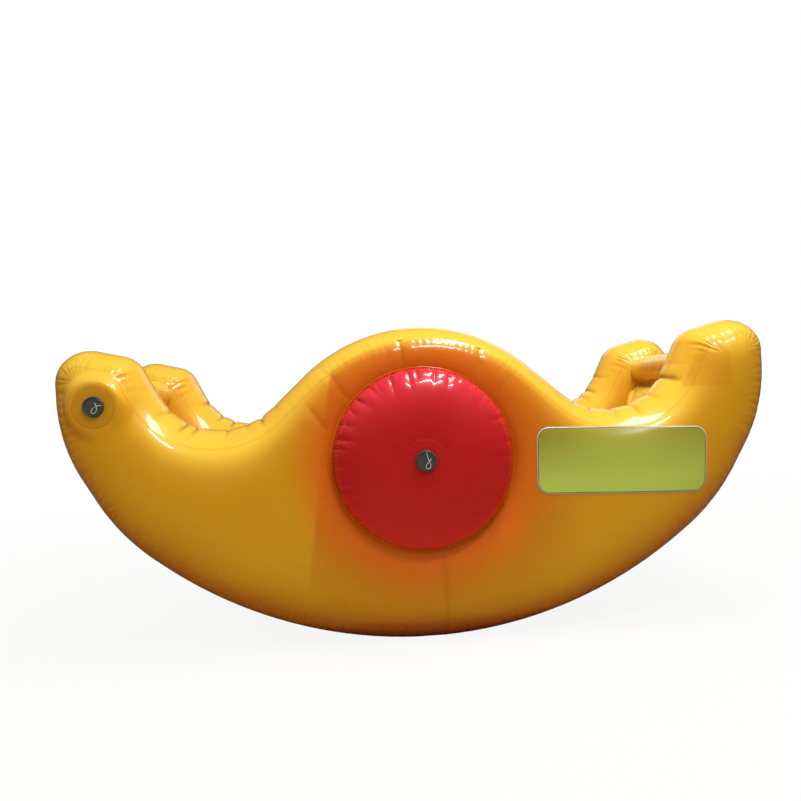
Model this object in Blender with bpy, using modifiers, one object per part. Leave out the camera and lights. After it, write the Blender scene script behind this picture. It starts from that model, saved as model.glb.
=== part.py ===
"""Inflatable water seesaw.

Two crescent side floats of welded tarpaulin stand side by side. A round drum runs through both of them, and
a seat with a backrest is held between the floats at each end. Each air chamber has a screw-cap valve.
X runs along the seesaw, Y across it and Z up. The ground is at Z = 0.
"""

import math

import bmesh
import bpy
from mathutils import Matrix, Vector
from mathutils.geometry import delaunay_2d_cdt

# General
GAP = 0.0003
SHEET = 0.001
EPS = 0.00001

# Side float outline: half of the silhouette as corners with their rounding radii
HALF_LENGTH = 1.2065
HUMP_TOP = 1.047
HUMP_RADIUS = 0.573
DIP_CORNER = (0.606, 0.699)
DIP_RADIUS = 0.25
HORN_FOOT = (HALF_LENGTH - 0.3685, 0.7733)
HORN_FOOT_RADIUS = 0.22
HORN_SHOULDER = (HALF_LENGTH - 0.2615, 0.9873)
HORN_SHOULDER_RADIUS = 0.09
HORN_TOP_SLOPE = math.radians(14)
HORN_RADIUS = 0.11
END_CORNER_HEIGHT = 0.713
END_RADIUS = 0.56
BILGE_CORNER = (HALF_LENGTH - 0.1875, 0.3896)
BILGE_RADIUS = 0.70
FLAT_DEPTH = 0.011
BELLY_SHARE = 0.9757
OUTLINE_STEP = 0.13
ARC_STEP = math.radians(26)

# Side float section
STRIP_WIDTH = 0.24
STRIP_BULGE = 0.045
STRIP_ROWS = 4
FACE_BULGE = 0.055
FACE_ROLL = 0.16
RIM_SHARE = 0.35
FACE_ROW = 0.045
FACE_STEP = 0.15
FIELD_SLANT = 0.87
NEAR_RING = (0.045, 24)
FAR_RING = (0.128, 18)
FLOAT_SPACING = 0.80
STRIP_JOINT = ((HALF_LENGTH + 0.0935, 0.866), (HALF_LENGTH - 0.1065, 0.80), (HALF_LENGTH - 0.6065, 0.45))
STRIP_JOINT_GAP = 0.0004
SOFT_SHADE = 60
MARGIN = 0.1

# Centre drum
DRUM_HEIGHT = 0.605
DRUM_RADIUS = 0.292
DRUM_HALF_LENGTH = 0.56
DRUM_END_BULGE = 0.08
DRUM_END_FLAT = 0.08
DRUM_END_POWER = 2.2
DRUM_END_STEPS = (0.14, 0.08, 0.04, 0.015, 0.004, 0)
DRUM_END_SIDES = 32
DRUM_SIDES = 48
SLEEVE_LIP = 0.004

# Valves
HORN_VALVE = (0.1675 - HALF_LENGTH, 0.83)
PATCH_RADIUS = 0.069
PATCH_SIDES = 28
PATCH_SHEET = 0.0008
PATCH_BLEND = 0.016
PATCH_MARGIN = 0.02
NECK_RADIUS = 0.023
NECK_DEPTH = 0.029
FLANGE_RADIUS = 0.034
FLANGE_HEIGHT = 0.003
FLANGE_CHAMFER = 0.001
HOUSING_SIDES = 16
BORE_RADIUS = 0.0195
VALVE_FLOOR = 0.003
FLOOR_DEPTH = 0.021
PORT_RADIUS = 0.0036
PORT_CIRCLE = 0.0115
PORTS = 4
PORT_SIDES = 8
STEM_RADIUS = 0.003
FLAP_RADIUS = 0.0165
FLAP_SHEET = 0.003
BUTTON_RADIUS = 0.0065
BUTTON_HEIGHT = 0.002
BUTTON_DEPTH = 0.0055
SPRING_RADIUS = 0.0048
SPRING_WIRE = 0.0009
SPRING_TURNS = 3
SPRING_SIDES = 8
CAP_RADIUS = 0.032
CAP_HEIGHT = 0.0075
CAP_RECESS = 0.0025
CAP_RIM = 0.004
CAP_CHAMFER = 0.0015
CAP_SKIRT = 0.006
CAP_WALL = 0.003
PLUG_GAP = 0.0006
O_RING_WIRE = 0.0026
O_RING_SIDES = 6
CORD_DIAMETER = 0.002
CORD_LIFT = 0.0024
TURNED_SIDES = 20
TURNED_SHADE = 35

# Seats
BOLSTER_RADIUS = 0.06
BOLSTER_SIDES = 24
BOLSTER_CENTRE = (HALF_LENGTH - 0.1515, 0.875)
BACKREST_TOP = (HALF_LENGTH - 0.1865, 0.815)
BACKREST_FOOT = (HALF_LENGTH - 0.2765, 0.45)
BACKREST_THICKNESS = 0.10
SEAT_FRONT = (DRUM_RADIUS + 0.178, 0.27)
SEAT_BACK = (HALF_LENGTH - 0.3465, 0.37)
SEAT_THICKNESS = 0.13
PAD_STEPS = (10, 7)
PAD_END_CROWN = 0.82

# Label on the front float
LABEL_CENTRE = (DRUM_RADIUS + 0.36, 0.566)
LABEL_SIZE = (0.567, 0.219)
LABEL_TILT = math.radians(-2.6)
LABEL_CORNER = 0.04
LABEL_SHEET = 0.0005

# Grab handles on the drum
HANDLE_ANGLE = math.radians(40)
HANDLE_SPAN = 0.20
HANDLE_FOOT = 0.035
HANDLE_RISE = 0.05
STRAP_WIDTH = 0.038
STRAP_SHEET = 0.003
STRAP_STEPS = 12
STRAP_FULLNESS = 0.7
HANDLE_PATCH = (0.07, 0.075)

# Materials: colour, roughness, metallic
YELLOW = ("yellow_tarpaulin", (0.90, 0.50, 0.02, 1), 0.28, 0.0)
RED = ("red_tarpaulin", (0.60, 0.01, 0.02, 1), 0.30, 0.0)
BLACK = ("black_polyethylene", (0.02, 0.02, 0.02, 1), 0.45, 0.0)
RUBBER = ("rubber", (0.03, 0.03, 0.03, 1), 0.7, 0.0)
STEEL = ("spring_steel", (0.6, 0.6, 0.6, 1), 0.3, 1.0)
WEBBING = ("black_webbing", (0.02, 0.02, 0.025, 1), 0.85, 0.0)
CORD = ("white_cord", (0.8, 0.8, 0.76, 1), 0.8, 0.0)
LABEL = ("printed_label", (0.42, 0.50, 0.04, 1), 0.35, 0.0)

for old in list(bpy.data.objects):
    bpy.data.objects.remove(old, do_unlink=True)
parts = bpy.data.collections.new("inflatable_seesaw")
cutters = bpy.data.collections.new("cutters")
bpy.context.scene.collection.children.link(parts)
bpy.context.scene.collection.children.link(cutters)


def material(spec):
    """The material of this name, made the first time it is asked for."""
    name, colour, roughness, metallic = spec
    found = bpy.data.materials.get(name)
    if found:
        return found
    made = bpy.data.materials.new(name)
    made.use_nodes = True
    shader = made.node_tree.nodes["Principled BSDF"]
    shader.inputs["Base Color"].default_value = colour
    shader.inputs["Roughness"].default_value = roughness
    shader.inputs["Metallic"].default_value = metallic
    return made


def part(name, data, spec, parent=None):
    """One named piece of the seesaw."""
    made = bpy.data.objects.new(name, data)
    parts.objects.link(made)
    if not data.materials:
        data.materials.append(material(spec))
    made.parent = parent
    return made


def cutter(name, data, parent=None):
    """A shape that only cuts other pieces."""
    made = bpy.data.objects.new(name, data)
    cutters.objects.link(made)
    made.hide_render = True
    made.display_type = "WIRE"
    made.parent = parent
    return made


def empty(name, location, parent=None, rotation=(0, 0, 0)):
    made = bpy.data.objects.new(name, None)
    parts.objects.link(made)
    made.location = location
    made.rotation_euler = rotation
    made.parent = parent
    return made


def mesh_from(name, bm, smooth_angle=None):
    data = bpy.data.meshes.new(name)
    bm.to_mesh(data)
    bm.free()
    if smooth_angle is not None:
        data.shade_smooth()
        data.set_sharp_from_angle(angle=math.radians(smooth_angle))
    return data


def boolean(obj, other, operation):
    made = obj.modifiers.new(f"{operation.lower()}_{other.name}", "BOOLEAN")
    made.operation = operation
    made.object = other
    return made


def turned(name, profile, sides=TURNED_SIDES):
    """A solid turned round local Z from (radius, height) points that run round it clockwise."""
    bm = bmesh.new()
    points = [bm.verts.new((r, 0, z)) for r, z in profile]
    edges = [bm.edges.new(pair) for pair in zip(points, points[1:])]
    if profile[0][0] > EPS or profile[-1][0] > EPS:
        edges.append(bm.edges.new((points[-1], points[0])))
    bmesh.ops.spin(
        bm, geom=points + edges, cent=(0, 0, 0), axis=(0, 0, 1), angle=math.tau, steps=sides, use_merge=True
    )
    bmesh.ops.remove_doubles(bm, verts=bm.verts, dist=EPS)
    bmesh.ops.recalc_face_normals(bm, faces=bm.faces)
    return mesh_from(name, bm, TURNED_SHADE)


def prism(name, outline, near, far):
    """An upright (x, z) outline made solid from y = near to y = far."""
    bm = bmesh.new()
    face = bm.faces.new([bm.verts.new((x, near, z)) for x, z in outline])
    side = bmesh.ops.extrude_face_region(bm, geom=[face])["geom"]
    moved = [v for v in side if isinstance(v, bmesh.types.BMVert)]
    bmesh.ops.translate(bm, verts=moved, vec=(0, far - near, 0))
    bmesh.ops.recalc_face_normals(bm, faces=bm.faces)
    return mesh_from(name, bm)


# Outline of the side float
def axis_corner(near, rim, radius, side):
    """Height of the corner on X = 0 whose rounding touches rim and whose flank runs to the corner near."""
    centre = Vector((0, rim - side * radius))
    reach = centre - Vector(near)
    swing = math.asin(min(radius / reach.length, 1 - EPS))
    heading = math.atan2(reach.y, reach.x) - side * swing
    return near[1] - near[0] * math.tan(heading)


def belly_radius():
    """A little under the radius of the circle through both bilge corners that touches the belly's rim."""
    across, up = BILGE_CORNER[0], BILGE_CORNER[1] + FLAT_DEPTH
    return BELLY_SHARE * (across**2 + up**2) / (2 * up)


def tangent_runs(corners):
    """How far each corner's rounding reaches along its two sides, shared out where a side is too short."""
    spots = [Vector(corner[:2]) for corner in corners]
    wanted = []
    for i, (_, _, radius) in enumerate(corners):
        before = spots[i - 1] - spots[i]
        after = spots[(i + 1) % len(spots)] - spots[i]
        wanted.append(radius / math.tan(before.angle(after) / 2))
    room = [1.0] * len(corners)
    for i, spot in enumerate(spots):
        side = (spot - spots[i - 1]).length
        share = min(1.0, 0.999 * side / (wanted[i] + wanted[i - 1]))
        room[i] = min(room[i], share)
        room[i - 1] = min(room[i - 1], share)
    return [run * share for run, share in zip(wanted, room)]


def rounded(corners):
    """Points and outward normals along a closed outline whose corners (x, z, radius) are rounded."""
    found = []
    count = len(corners)
    for i, run in enumerate(tangent_runs(corners)):
        here = Vector(corners[i][:2])
        before = (Vector(corners[i - 1][:2]) - here).normalized()
        after = (Vector(corners[(i + 1) % count][:2]) - here).normalized()
        half = before.angle(after) / 2
        radius = run * math.tan(half)
        centre = here + (before + after).normalized() * (radius / math.sin(half))
        first = here + before * run - centre
        turn = math.pi - 2 * half
        convex = before.x * after.y - before.y * after.x < 0
        sweep = turn if convex else -turn
        steps = max(2, math.ceil(turn / ARC_STEP), math.ceil(turn * radius / OUTLINE_STEP))
        for k in range(steps + 1):
            spoke = Matrix.Rotation(sweep * k / steps, 2) @ first
            outward = spoke.normalized() if convex else -spoke.normalized()
            found.append((centre + spoke, outward))
    return filled_in(found)


def filled_in(found):
    """The same outline with its longer straight runs divided."""
    full = []
    for (here, normal), (after, _) in zip(found, found[1:] + found[:1]):
        run = (after - here).length
        if run < 10 * EPS:
            continue
        full.append((here, normal))
        extra = math.ceil(run / OUTLINE_STEP) - 1
        straight = (after - here).normalized()
        flank = Vector((straight.y, -straight.x))
        if abs(flank.dot(normal)) > 1 - 1e-4:
            for k in range(1, extra + 1):
                full.append((here.lerp(after, k / (extra + 1)), flank))
    return full


def float_outline():
    """Silhouette of a float, anticlockwise seen from the front."""
    horn_top = HORN_SHOULDER[1] + (HALF_LENGTH - HORN_SHOULDER[0]) * math.tan(HORN_TOP_SLOPE)
    right = [
        (*BILGE_CORNER, BILGE_RADIUS),
        (HALF_LENGTH, END_CORNER_HEIGHT, END_RADIUS),
        (HALF_LENGTH, horn_top, HORN_RADIUS),
        (*HORN_SHOULDER, HORN_SHOULDER_RADIUS),
        (*HORN_FOOT, HORN_FOOT_RADIUS),
        (*DIP_CORNER, DIP_RADIUS),
    ]
    belly_round = belly_radius()
    belly = (0, axis_corner(BILGE_CORNER, -FLAT_DEPTH, belly_round, -1), belly_round)
    hump = (0, axis_corner(DIP_CORNER, HUMP_TOP, HUMP_RADIUS, 1), HUMP_RADIUS)
    left = [(-x, z, radius) for x, z, radius in reversed(right)]
    return rounded([belly] + right + [hump] + left)


OUTLINE = float_outline()
SEAM = [point - normal * STRIP_BULGE for point, normal in OUTLINE]
DRUM_AXIS = Vector((0, DRUM_HEIGHT))
VALVE_SPOT = Vector(HORN_VALVE)
SLEEVE_INNER = DRUM_RADIUS + GAP
FACE_HOLE = SLEEVE_INNER + SHEET + 2 * GAP


def depth(point):
    """Distance from a point of the face to its seam, negative outside."""
    nearest = 10.0
    inside = False
    for a, b in zip(SEAM, SEAM[1:] + SEAM[:1]):
        run = b - a
        share = max(0.0, min(1.0, (point - a).dot(run) / run.length_squared))
        nearest = min(nearest, (a + run * share - point).length)
        if (a.y > point.y) != (b.y > point.y):
            crossing = a.x + (point.y - a.y) / (b.y - a.y) * (b.x - a.x)
            inside = inside != (crossing > point.x)
    return nearest if inside else -nearest


def roll(distance):
    """How far the sheet has risen at this distance from a seam, from 0 to 1."""
    return 1 - (1 - min(max(distance, 0) / FACE_ROLL, 1)) ** 2


def face_height(point):
    """How far the inflated face stands proud of its seam, with a dimple round the drum."""
    rim = roll((point - DRUM_AXIS).length - FACE_HOLE)
    return FACE_BULGE * roll(depth(point)) * (RIM_SHARE + (1 - RIM_SHARE) * rim)


VALVE_PLATEAU = face_height(VALVE_SPOT)


def outer_height(point):
    """The same for an outer face, which lies flat under its valve."""
    away = (point - VALVE_SPOT).length - PATCH_RADIUS - 2 * GAP
    share = min(max(away / PATCH_BLEND, 0), 1)
    return VALVE_PLATEAU + (face_height(point) - VALVE_PLATEAU) * share


def ring(centre, radius, count):
    turns = [math.tau * k / count for k in range(count)]
    return [centre + radius * Vector((math.cos(a), math.sin(a))) for a in turns]


def flat_face(holes, inner_points):
    """Triangles that fill the seam outline, apart from the round holes (centre, radius, sides)."""
    points = list(SEAM)
    edges = []
    for centre, radius, sides in holes:
        first = len(points)
        points += ring(centre, radius / math.cos(math.pi / sides), sides)
        edges += [(first + k, first + (k + 1) % sides) for k in range(sides)]
    points += inner_points
    outline = [list(range(len(SEAM)))]
    found, _, triangles, _, _, _ = delaunay_2d_cdt(points, edges, outline, 1, EPS)
    kept = []
    for triangle in triangles:
        middle = sum((found[i] for i in triangle), Vector((0, 0))) / 3
        if all((middle - centre).length > radius * 0.995 for centre, radius, _ in holes):
            kept.append(triangle)
    return found, kept


def face_points(clear_of):
    """Inner points of a face: a row beside the seam, two round the drum and an even field between them."""
    row = [point - normal * (STRIP_BULGE + FACE_ROW) for point, normal in OUTLINE]
    rings = [p for out, count in (NEAR_RING, FAR_RING) for p in ring(DRUM_AXIS, FACE_HOLE + out, count)]
    rise = FACE_STEP * FIELD_SLANT
    wide, high = math.ceil(HALF_LENGTH / FACE_STEP), math.ceil(HUMP_TOP / rise)
    field = []
    for j in range(high):
        for i in range(-wide, wide + 1):
            field.append(Vector((FACE_STEP * (i + 0.5 * (j % 2)), rise * j)))
    field = [p for p in field if depth(p) > FACE_ROW * 2 and (p - DRUM_AXIS).length > FACE_HOLE + FACE_ROLL]
    kept = []
    for p in [p for p in rings + row if depth(p) > FACE_ROW * 0.9] + field:
        if (p - DRUM_AXIS).length < FACE_HOLE + FACE_ROW / 2:
            continue
        if any((p - centre).length < radius for centre, radius in clear_of):
            continue
        if all((p - other).length > FACE_ROW * 0.7 for other in kept):
            kept.append(p)
    return kept


def float_skin(name, with_holes):
    """The outer surface of one float: the edge strip round it and its two faces, with the outer one at -Y."""
    half = STRIP_WIDTH / 2
    valve_ring = ring(VALVE_SPOT, PATCH_RADIUS + GAP, TURNED_SIDES)
    drum = [(DRUM_AXIS, FACE_HOLE, DRUM_SIDES * 2 // 3)] if with_holes else []
    neck = [(VALVE_SPOT, NECK_RADIUS + GAP * 2, TURNED_SIDES)] if with_holes else []
    inner = face_points([])
    outer = face_points([(VALVE_SPOT, PATCH_RADIUS + PATCH_MARGIN)]) + valve_ring
    bm = bmesh.new()
    faces = ((-1, drum + neck, outer, outer_height), (1, drum, inner, face_height))
    for side, holes, points, height in faces:
        found, triangles = flat_face(holes, points)
        placed = [bm.verts.new((p.x, side * (half + height(p)), p.y)) for p in found]
        for a, b, c in triangles:
            bm.faces.new((placed[a], placed[b], placed[c]))
    radius = (half**2 + STRIP_BULGE**2) / (2 * STRIP_BULGE)
    normals = [normal for _, normal in OUTLINE]
    rows = []
    for row in range(STRIP_ROWS + 1):
        y = half * (2 * row / STRIP_ROWS - 1)
        bulge = math.sqrt(radius**2 - y**2) - radius + STRIP_BULGE
        rows.append([bm.verts.new((p.x + n.x * bulge, y, p.y + n.y * bulge)) for p, n in zip(SEAM, normals)])
    for low, high in zip(rows, rows[1:]):
        for quad in zip(low, low[1:] + low[:1], high[1:] + high[:1], high):
            bm.faces.new(quad)
    for vert in bm.verts:
        vert.co.z = max(vert.co.z, 0.0)
    bmesh.ops.remove_doubles(bm, verts=bm.verts, dist=0.0001)
    bmesh.ops.recalc_face_normals(bm, faces=bm.faces)
    return mesh_from(name, bm, SOFT_SHADE)


def slab(name, near, far, outline=None):
    wide, high = HALF_LENGTH + MARGIN, HUMP_TOP + MARGIN
    whole = [(-wide, -MARGIN), (wide, -MARGIN), (wide, high), (-wide, high)]
    return prism(name, outline or whole, near, far)


def joint_line(shift):
    """The strip's two halves meet at the horn tips, on this line through the float."""
    right = [(x, z + shift) for x, z in STRIP_JOINT]
    return [(-x, z) for x, z in right] + right[::-1]


def upper_outline():
    high = HUMP_TOP + MARGIN
    wide = STRIP_JOINT[0][0]
    return joint_line(STRIP_JOINT_GAP / 2) + [(wide, high), (-wide, high)]


def lower_outline():
    wide = STRIP_JOINT[0][0]
    return joint_line(-STRIP_JOINT_GAP / 2) + [(wide, -MARGIN), (-wide, -MARGIN)]


# The drum's valve stands proud of the front end, so the whole lies this far back to keep the origin central
VALVE_STAND = 3 * GAP + PATCH_SHEET + FLANGE_HEIGHT + CAP_HEIGHT
seesaw = empty("seesaw", (0, VALVE_STAND / 2, 0))
skin = float_skin("float_skin", True)
closed_skin = float_skin("closed_float_skin", False)
half_strip = STRIP_WIDTH / 2
face_reach = half_strip + FACE_BULGE + MARGIN / 2
float_cuts = {
    "outer_face_panel": slab("outer_side", -face_reach, -half_strip - GAP / 2),
    "inner_face_panel": slab("inner_side", half_strip + GAP / 2, face_reach),
    "top_edge_strip": slab("upper_edge", -half_strip + GAP / 2, half_strip - GAP / 2, upper_outline()),
    "bottom_edge_strip": slab("lower_edge", -half_strip + GAP / 2, half_strip - GAP / 2, lower_outline()),
}
rim_height = half_strip + FACE_BULGE * RIM_SHARE + SLEEVE_LIP


def tube(name, inner, outer, half_length, sides):
    """A plain open tube along Y."""
    bm = bmesh.new()
    points = [(inner, -half_length), (outer, -half_length), (outer, half_length), (inner, half_length)]
    loop = [bm.verts.new((r, y, 0)) for r, y in points]
    edges = [bm.edges.new(pair) for pair in zip(loop, loop[1:] + loop[:1])]
    bmesh.ops.spin(
        bm, geom=loop + edges, cent=(0, 0, 0), axis=(0, 1, 0), angle=math.tau, steps=sides, use_merge=True
    )
    bmesh.ops.remove_doubles(bm, verts=bm.verts, dist=EPS)
    bmesh.ops.recalc_face_normals(bm, faces=bm.faces)
    return mesh_from(name, bm, TURNED_SHADE)


# Side floats
def side_float(name, location, rotation):
    """One float as its welded panels, and the closed shape that cuts what meets it."""
    frame = empty(f"{name}_frame", location, seesaw, rotation)
    for piece, cut in float_cuts.items():
        made = part(f"{name}_{piece}", skin, YELLOW, frame)
        wall = made.modifiers.new("wall", "SOLIDIFY")
        wall.thickness = SHEET
        wall.offset = -1
        boolean(made, cutter(f"{name}_{piece}_cut", cut, frame), "INTERSECT")
    sleeve = part(
        f"{name}_drum_sleeve",
        tube(f"{name}_sleeve", SLEEVE_INNER, SLEEVE_INNER + SHEET, rim_height, DRUM_SIDES),
        YELLOW,
        frame,
    )
    sleeve.location = (0, 0, DRUM_HEIGHT)
    return frame


front = side_float("front_float", (0, -FLOAT_SPACING / 2, 0), (0, 0, 0))
rear = side_float("rear_float", (0, FLOAT_SPACING / 2, 0), (0, 0, math.pi))


# Centre drum
def drum_end_height(r):
    """How far the end disc stands proud of its rim at this radius."""
    share = min(max((r - DRUM_END_FLAT) / (DRUM_RADIUS - DRUM_END_FLAT), 0), 1)
    return DRUM_END_BULGE * math.sqrt(max(1 - share**DRUM_END_POWER, 0))


def drum_end(name, hole, parent):
    """A dished end disc, as a turned shell. With a hole it takes the valve's neck."""
    radii = [hole] if hole else [0.0]
    radii += [DRUM_END_FLAT] + [DRUM_RADIUS - run for run in DRUM_END_STEPS]
    outer = [(r, drum_end_height(r)) for r in radii]
    inner = [(min(r, DRUM_RADIUS - SHEET), drum_end_height(r) - SHEET) for r in radii]
    made = part(name, turned(name, outer + inner[::-1], DRUM_END_SIDES), RED, parent)
    made.location = (0, 0, SHEET + GAP)
    return made


wrap = tube("drum_wrap", DRUM_RADIUS - SHEET, DRUM_RADIUS, DRUM_HALF_LENGTH, DRUM_SIDES)
drum_wrap = part("drum_wrap", wrap, RED, seesaw)
drum_wrap.location = (0, 0, DRUM_HEIGHT)
front_end = empty("front_drum_end_frame", (0, -DRUM_HALF_LENGTH, DRUM_HEIGHT), seesaw, (math.pi / 2, 0, 0))
rear_end = empty("rear_drum_end_frame", (0, DRUM_HALF_LENGTH, DRUM_HEIGHT), seesaw, (math.pi / 2, 0, math.pi))
drum_end("drum_front_end", NECK_RADIUS + GAP * 2, front_end)
drum_end("drum_rear_end", 0, rear_end)


# Valves
def valve(name, frame, sheet_spec, route):
    """A screw-cap valve whose sheet face lies at local Z = 0 and whose cap points to local +Z."""
    patch_top = GAP + PATCH_SHEET
    seat = patch_top + GAP
    top = seat + FLANGE_HEIGHT
    floor = top - FLOOR_DEPTH
    groove = O_RING_WIRE + 2 * GAP
    groove_radius = BORE_RADIUS + groove
    neck_gap = NECK_RADIUS + GAP
    sheet = [(neck_gap, GAP), (neck_gap, patch_top), (PATCH_RADIUS, patch_top), (PATCH_RADIUS, GAP)]
    part(f"{name}_patch", turned("patch", sheet, PATCH_SIDES), sheet_spec, frame)
    guide = STEM_RADIUS + GAP
    body = [
        (guide, floor),
        (BORE_RADIUS, floor),
        (BORE_RADIUS, top - groove),
        (groove_radius, top - groove),
        (groove_radius, top),
        (FLANGE_RADIUS - FLANGE_CHAMFER, top),
        (FLANGE_RADIUS, top - FLANGE_CHAMFER),
        (FLANGE_RADIUS, seat),
        (NECK_RADIUS, seat),
        (NECK_RADIUS, -NECK_DEPTH),
        (BORE_RADIUS, -NECK_DEPTH),
        (BORE_RADIUS, floor - VALVE_FLOOR),
        (guide, floor - VALVE_FLOOR),
    ]
    housing = part(f"{name}_body", turned("valve_body", body, HOUSING_SIDES), BLACK, frame)
    bm = bmesh.new()
    for k in range(PORTS):
        a = math.tau * k / PORTS
        middle = (PORT_CIRCLE * math.cos(a), PORT_CIRCLE * math.sin(a), floor - VALVE_FLOOR / 2)
        bmesh.ops.create_cone(
            bm,
            cap_ends=True,
            segments=PORT_SIDES,
            radius1=PORT_RADIUS,
            radius2=PORT_RADIUS,
            depth=VALVE_FLOOR * 2,
            matrix=Matrix.Translation(middle),
        )
    boolean(housing, cutter(f"{name}_ports", mesh_from("ports", bm), frame), "DIFFERENCE")
    flap_top = floor - VALVE_FLOOR - GAP
    button_top = top - BUTTON_DEPTH
    button_under = button_top - BUTTON_HEIGHT
    plunger = [
        (0, button_top),
        (BUTTON_RADIUS, button_top),
        (BUTTON_RADIUS, button_under),
        (STEM_RADIUS, button_under),
        (STEM_RADIUS, flap_top),
        (FLAP_RADIUS, flap_top),
        (FLAP_RADIUS, flap_top - FLAP_SHEET),
        (0, flap_top - FLAP_SHEET),
    ]
    part(f"{name}_plunger", turned("plunger", plunger, HOUSING_SIDES), BLACK, frame)
    wire_gap = GAP + SPRING_WIRE / 2
    coil(f"{name}_spring", floor + wire_gap, button_under - wire_gap, frame)
    under = top + GAP
    plug = BORE_RADIUS - PLUG_GAP
    cap_top = under + CAP_HEIGHT
    cap = [
        (0, cap_top - CAP_RECESS),
        (CAP_RADIUS - CAP_RIM, cap_top - CAP_RECESS),
        (CAP_RADIUS - CAP_RIM, cap_top),
        (CAP_RADIUS - CAP_CHAMFER, cap_top),
        (CAP_RADIUS, cap_top - CAP_CHAMFER),
        (CAP_RADIUS, under),
        (plug, under),
        (plug, under - CAP_SKIRT),
        (plug - CAP_WALL, under - CAP_SKIRT),
        (plug - CAP_WALL, under),
        (0, under),
    ]
    part(f"{name}_cap", turned("cap", cap), BLACK, frame)
    o_ring(f"{name}_o_ring", plug + GAP + O_RING_WIRE / 2, top - groove / 2, frame)
    pull_loop(f"{name}_pull_loop", route, cap_top - CAP_RECESS + GAP + CORD_DIAMETER / 2, frame)


def coil(name, low, high, frame):
    """An open coil spring of round wire."""
    steps = SPRING_SIDES * SPRING_TURNS
    data = bpy.data.curves.new(name, "CURVE")
    data.dimensions = "3D"
    data.bevel_depth = SPRING_WIRE / 2
    data.bevel_resolution = 0
    data.use_fill_caps = True
    line = data.splines.new("POLY")
    line.points.add(steps)
    for k, point in enumerate(line.points):
        a = math.tau * k / SPRING_SIDES
        z = low + (high - low) * k / steps
        point.co = (SPRING_RADIUS * math.cos(a), SPRING_RADIUS * math.sin(a), z, 1)
    part(name, data, STEEL, frame)


def o_ring(name, radius, height, frame):
    """The rubber ring that the cap presses into the groove round the bore."""
    wire = O_RING_WIRE / 2
    turns = [math.tau * k / O_RING_SIDES for k in range(O_RING_SIDES)]
    profile = [(radius + wire * math.cos(a), height - wire * math.sin(a)) for a in turns]
    part(name, turned("o_ring", profile), RUBBER, frame)


# Routes of the pull loops on their caps, in millimetres: along X, up, and in cord lifts off the cap's face
HORN_LOOP = [(27.2, 3, 0), (20, 3, 0), (14.5, 2.4, 0), (10, 0.2, 0), (4, -3.5, 0), (-1, -8.5, 0)]
HORN_LOOP += [(-4, -14, 0), (-2, -19, 0), (3, -21, 0), (8.5, -18, 0), (12, -12, 0), (13.5, -5, 0.3)]
HORN_LOOP += [(13.3, 1, 1), (11.5, 6.5, 0.8), (8, 11.5, 0)]
DRUM_LOOP = [(2, 27.2, 0), (3, 20, 0), (5.5, 10, 0), (8.5, 1, 0), (10, -5, 0), (12.5, -11, 0), (13.5, -17, 0)]
DRUM_LOOP += [(10.5, -22.5, 0), (4.5, -24.5, 0), (-1, -22, 0), (-2, -16, 0), (2, -9.5, 0.2), (7.5, -3.5, 1)]
DRUM_LOOP += [(12.5, 1.5, 0.9), (15, 7.5, 0)]


def pull_loop(name, route, height, frame):
    """A thin cord held in the cap's rim and knotted into a loop that hangs over the cap's face."""
    data = bpy.data.curves.new(name, "CURVE")
    data.dimensions = "3D"
    data.bevel_depth = CORD_DIAMETER / 2
    data.bevel_resolution = 1
    data.use_fill_caps = True
    line = data.splines.new("POLY")
    line.points.add(len(route) - 1)
    for point, (x, y, lift) in zip(line.points, route):
        point.co = (x / 1000, y / 1000, height + CORD_LIFT * lift, 1)
    part(name, data, CORD, frame)


face_out = half_strip + VALVE_PLATEAU
for name, parent in (("front_horn_valve", front), ("rear_horn_valve", rear)):
    spot = empty(f"{name}_frame", (HORN_VALVE[0], -face_out, HORN_VALVE[1]), parent, (math.pi / 2, 0, 0))
    valve(name, spot, YELLOW, HORN_LOOP)
drum_spot = empty("drum_valve_frame", (0, 0, SHEET + GAP + DRUM_END_BULGE), front_end)
valve("drum_valve", drum_spot, RED, DRUM_LOOP)


# Seats between the floats
front_shape = cutter("front_float_shape", closed_skin, front)
rear_shape = cutter("rear_float_shape", closed_skin, rear)
for shape in (front_shape, rear_shape):
    clearance = shape.modifiers.new("clearance", "DISPLACE")
    clearance.mid_level = 0
    clearance.strength = GAP
SPAN = FLOAT_SPACING - STRIP_WIDTH


def between_floats(name, data):
    """A piece held between the floats, with its ends shaped to their bulging inner faces."""
    made = part(name, data, YELLOW, seesaw)
    boolean(made, front_shape, "DIFFERENCE")
    boolean(made, rear_shape, "DIFFERENCE")


def bolster(name, side):
    bm = bmesh.new()
    turn = Matrix.Rotation(math.pi / 2, 4, "X")
    at = Matrix.Translation((side * BOLSTER_CENTRE[0], 0, BOLSTER_CENTRE[1]))
    bmesh.ops.create_cone(
        bm,
        cap_ends=True,
        segments=BOLSTER_SIDES,
        radius1=BOLSTER_RADIUS,
        radius2=BOLSTER_RADIUS,
        depth=SPAN,
        matrix=at @ turn,
    )
    between_floats(name, mesh_from(name, bm, TURNED_SHADE))


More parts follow.
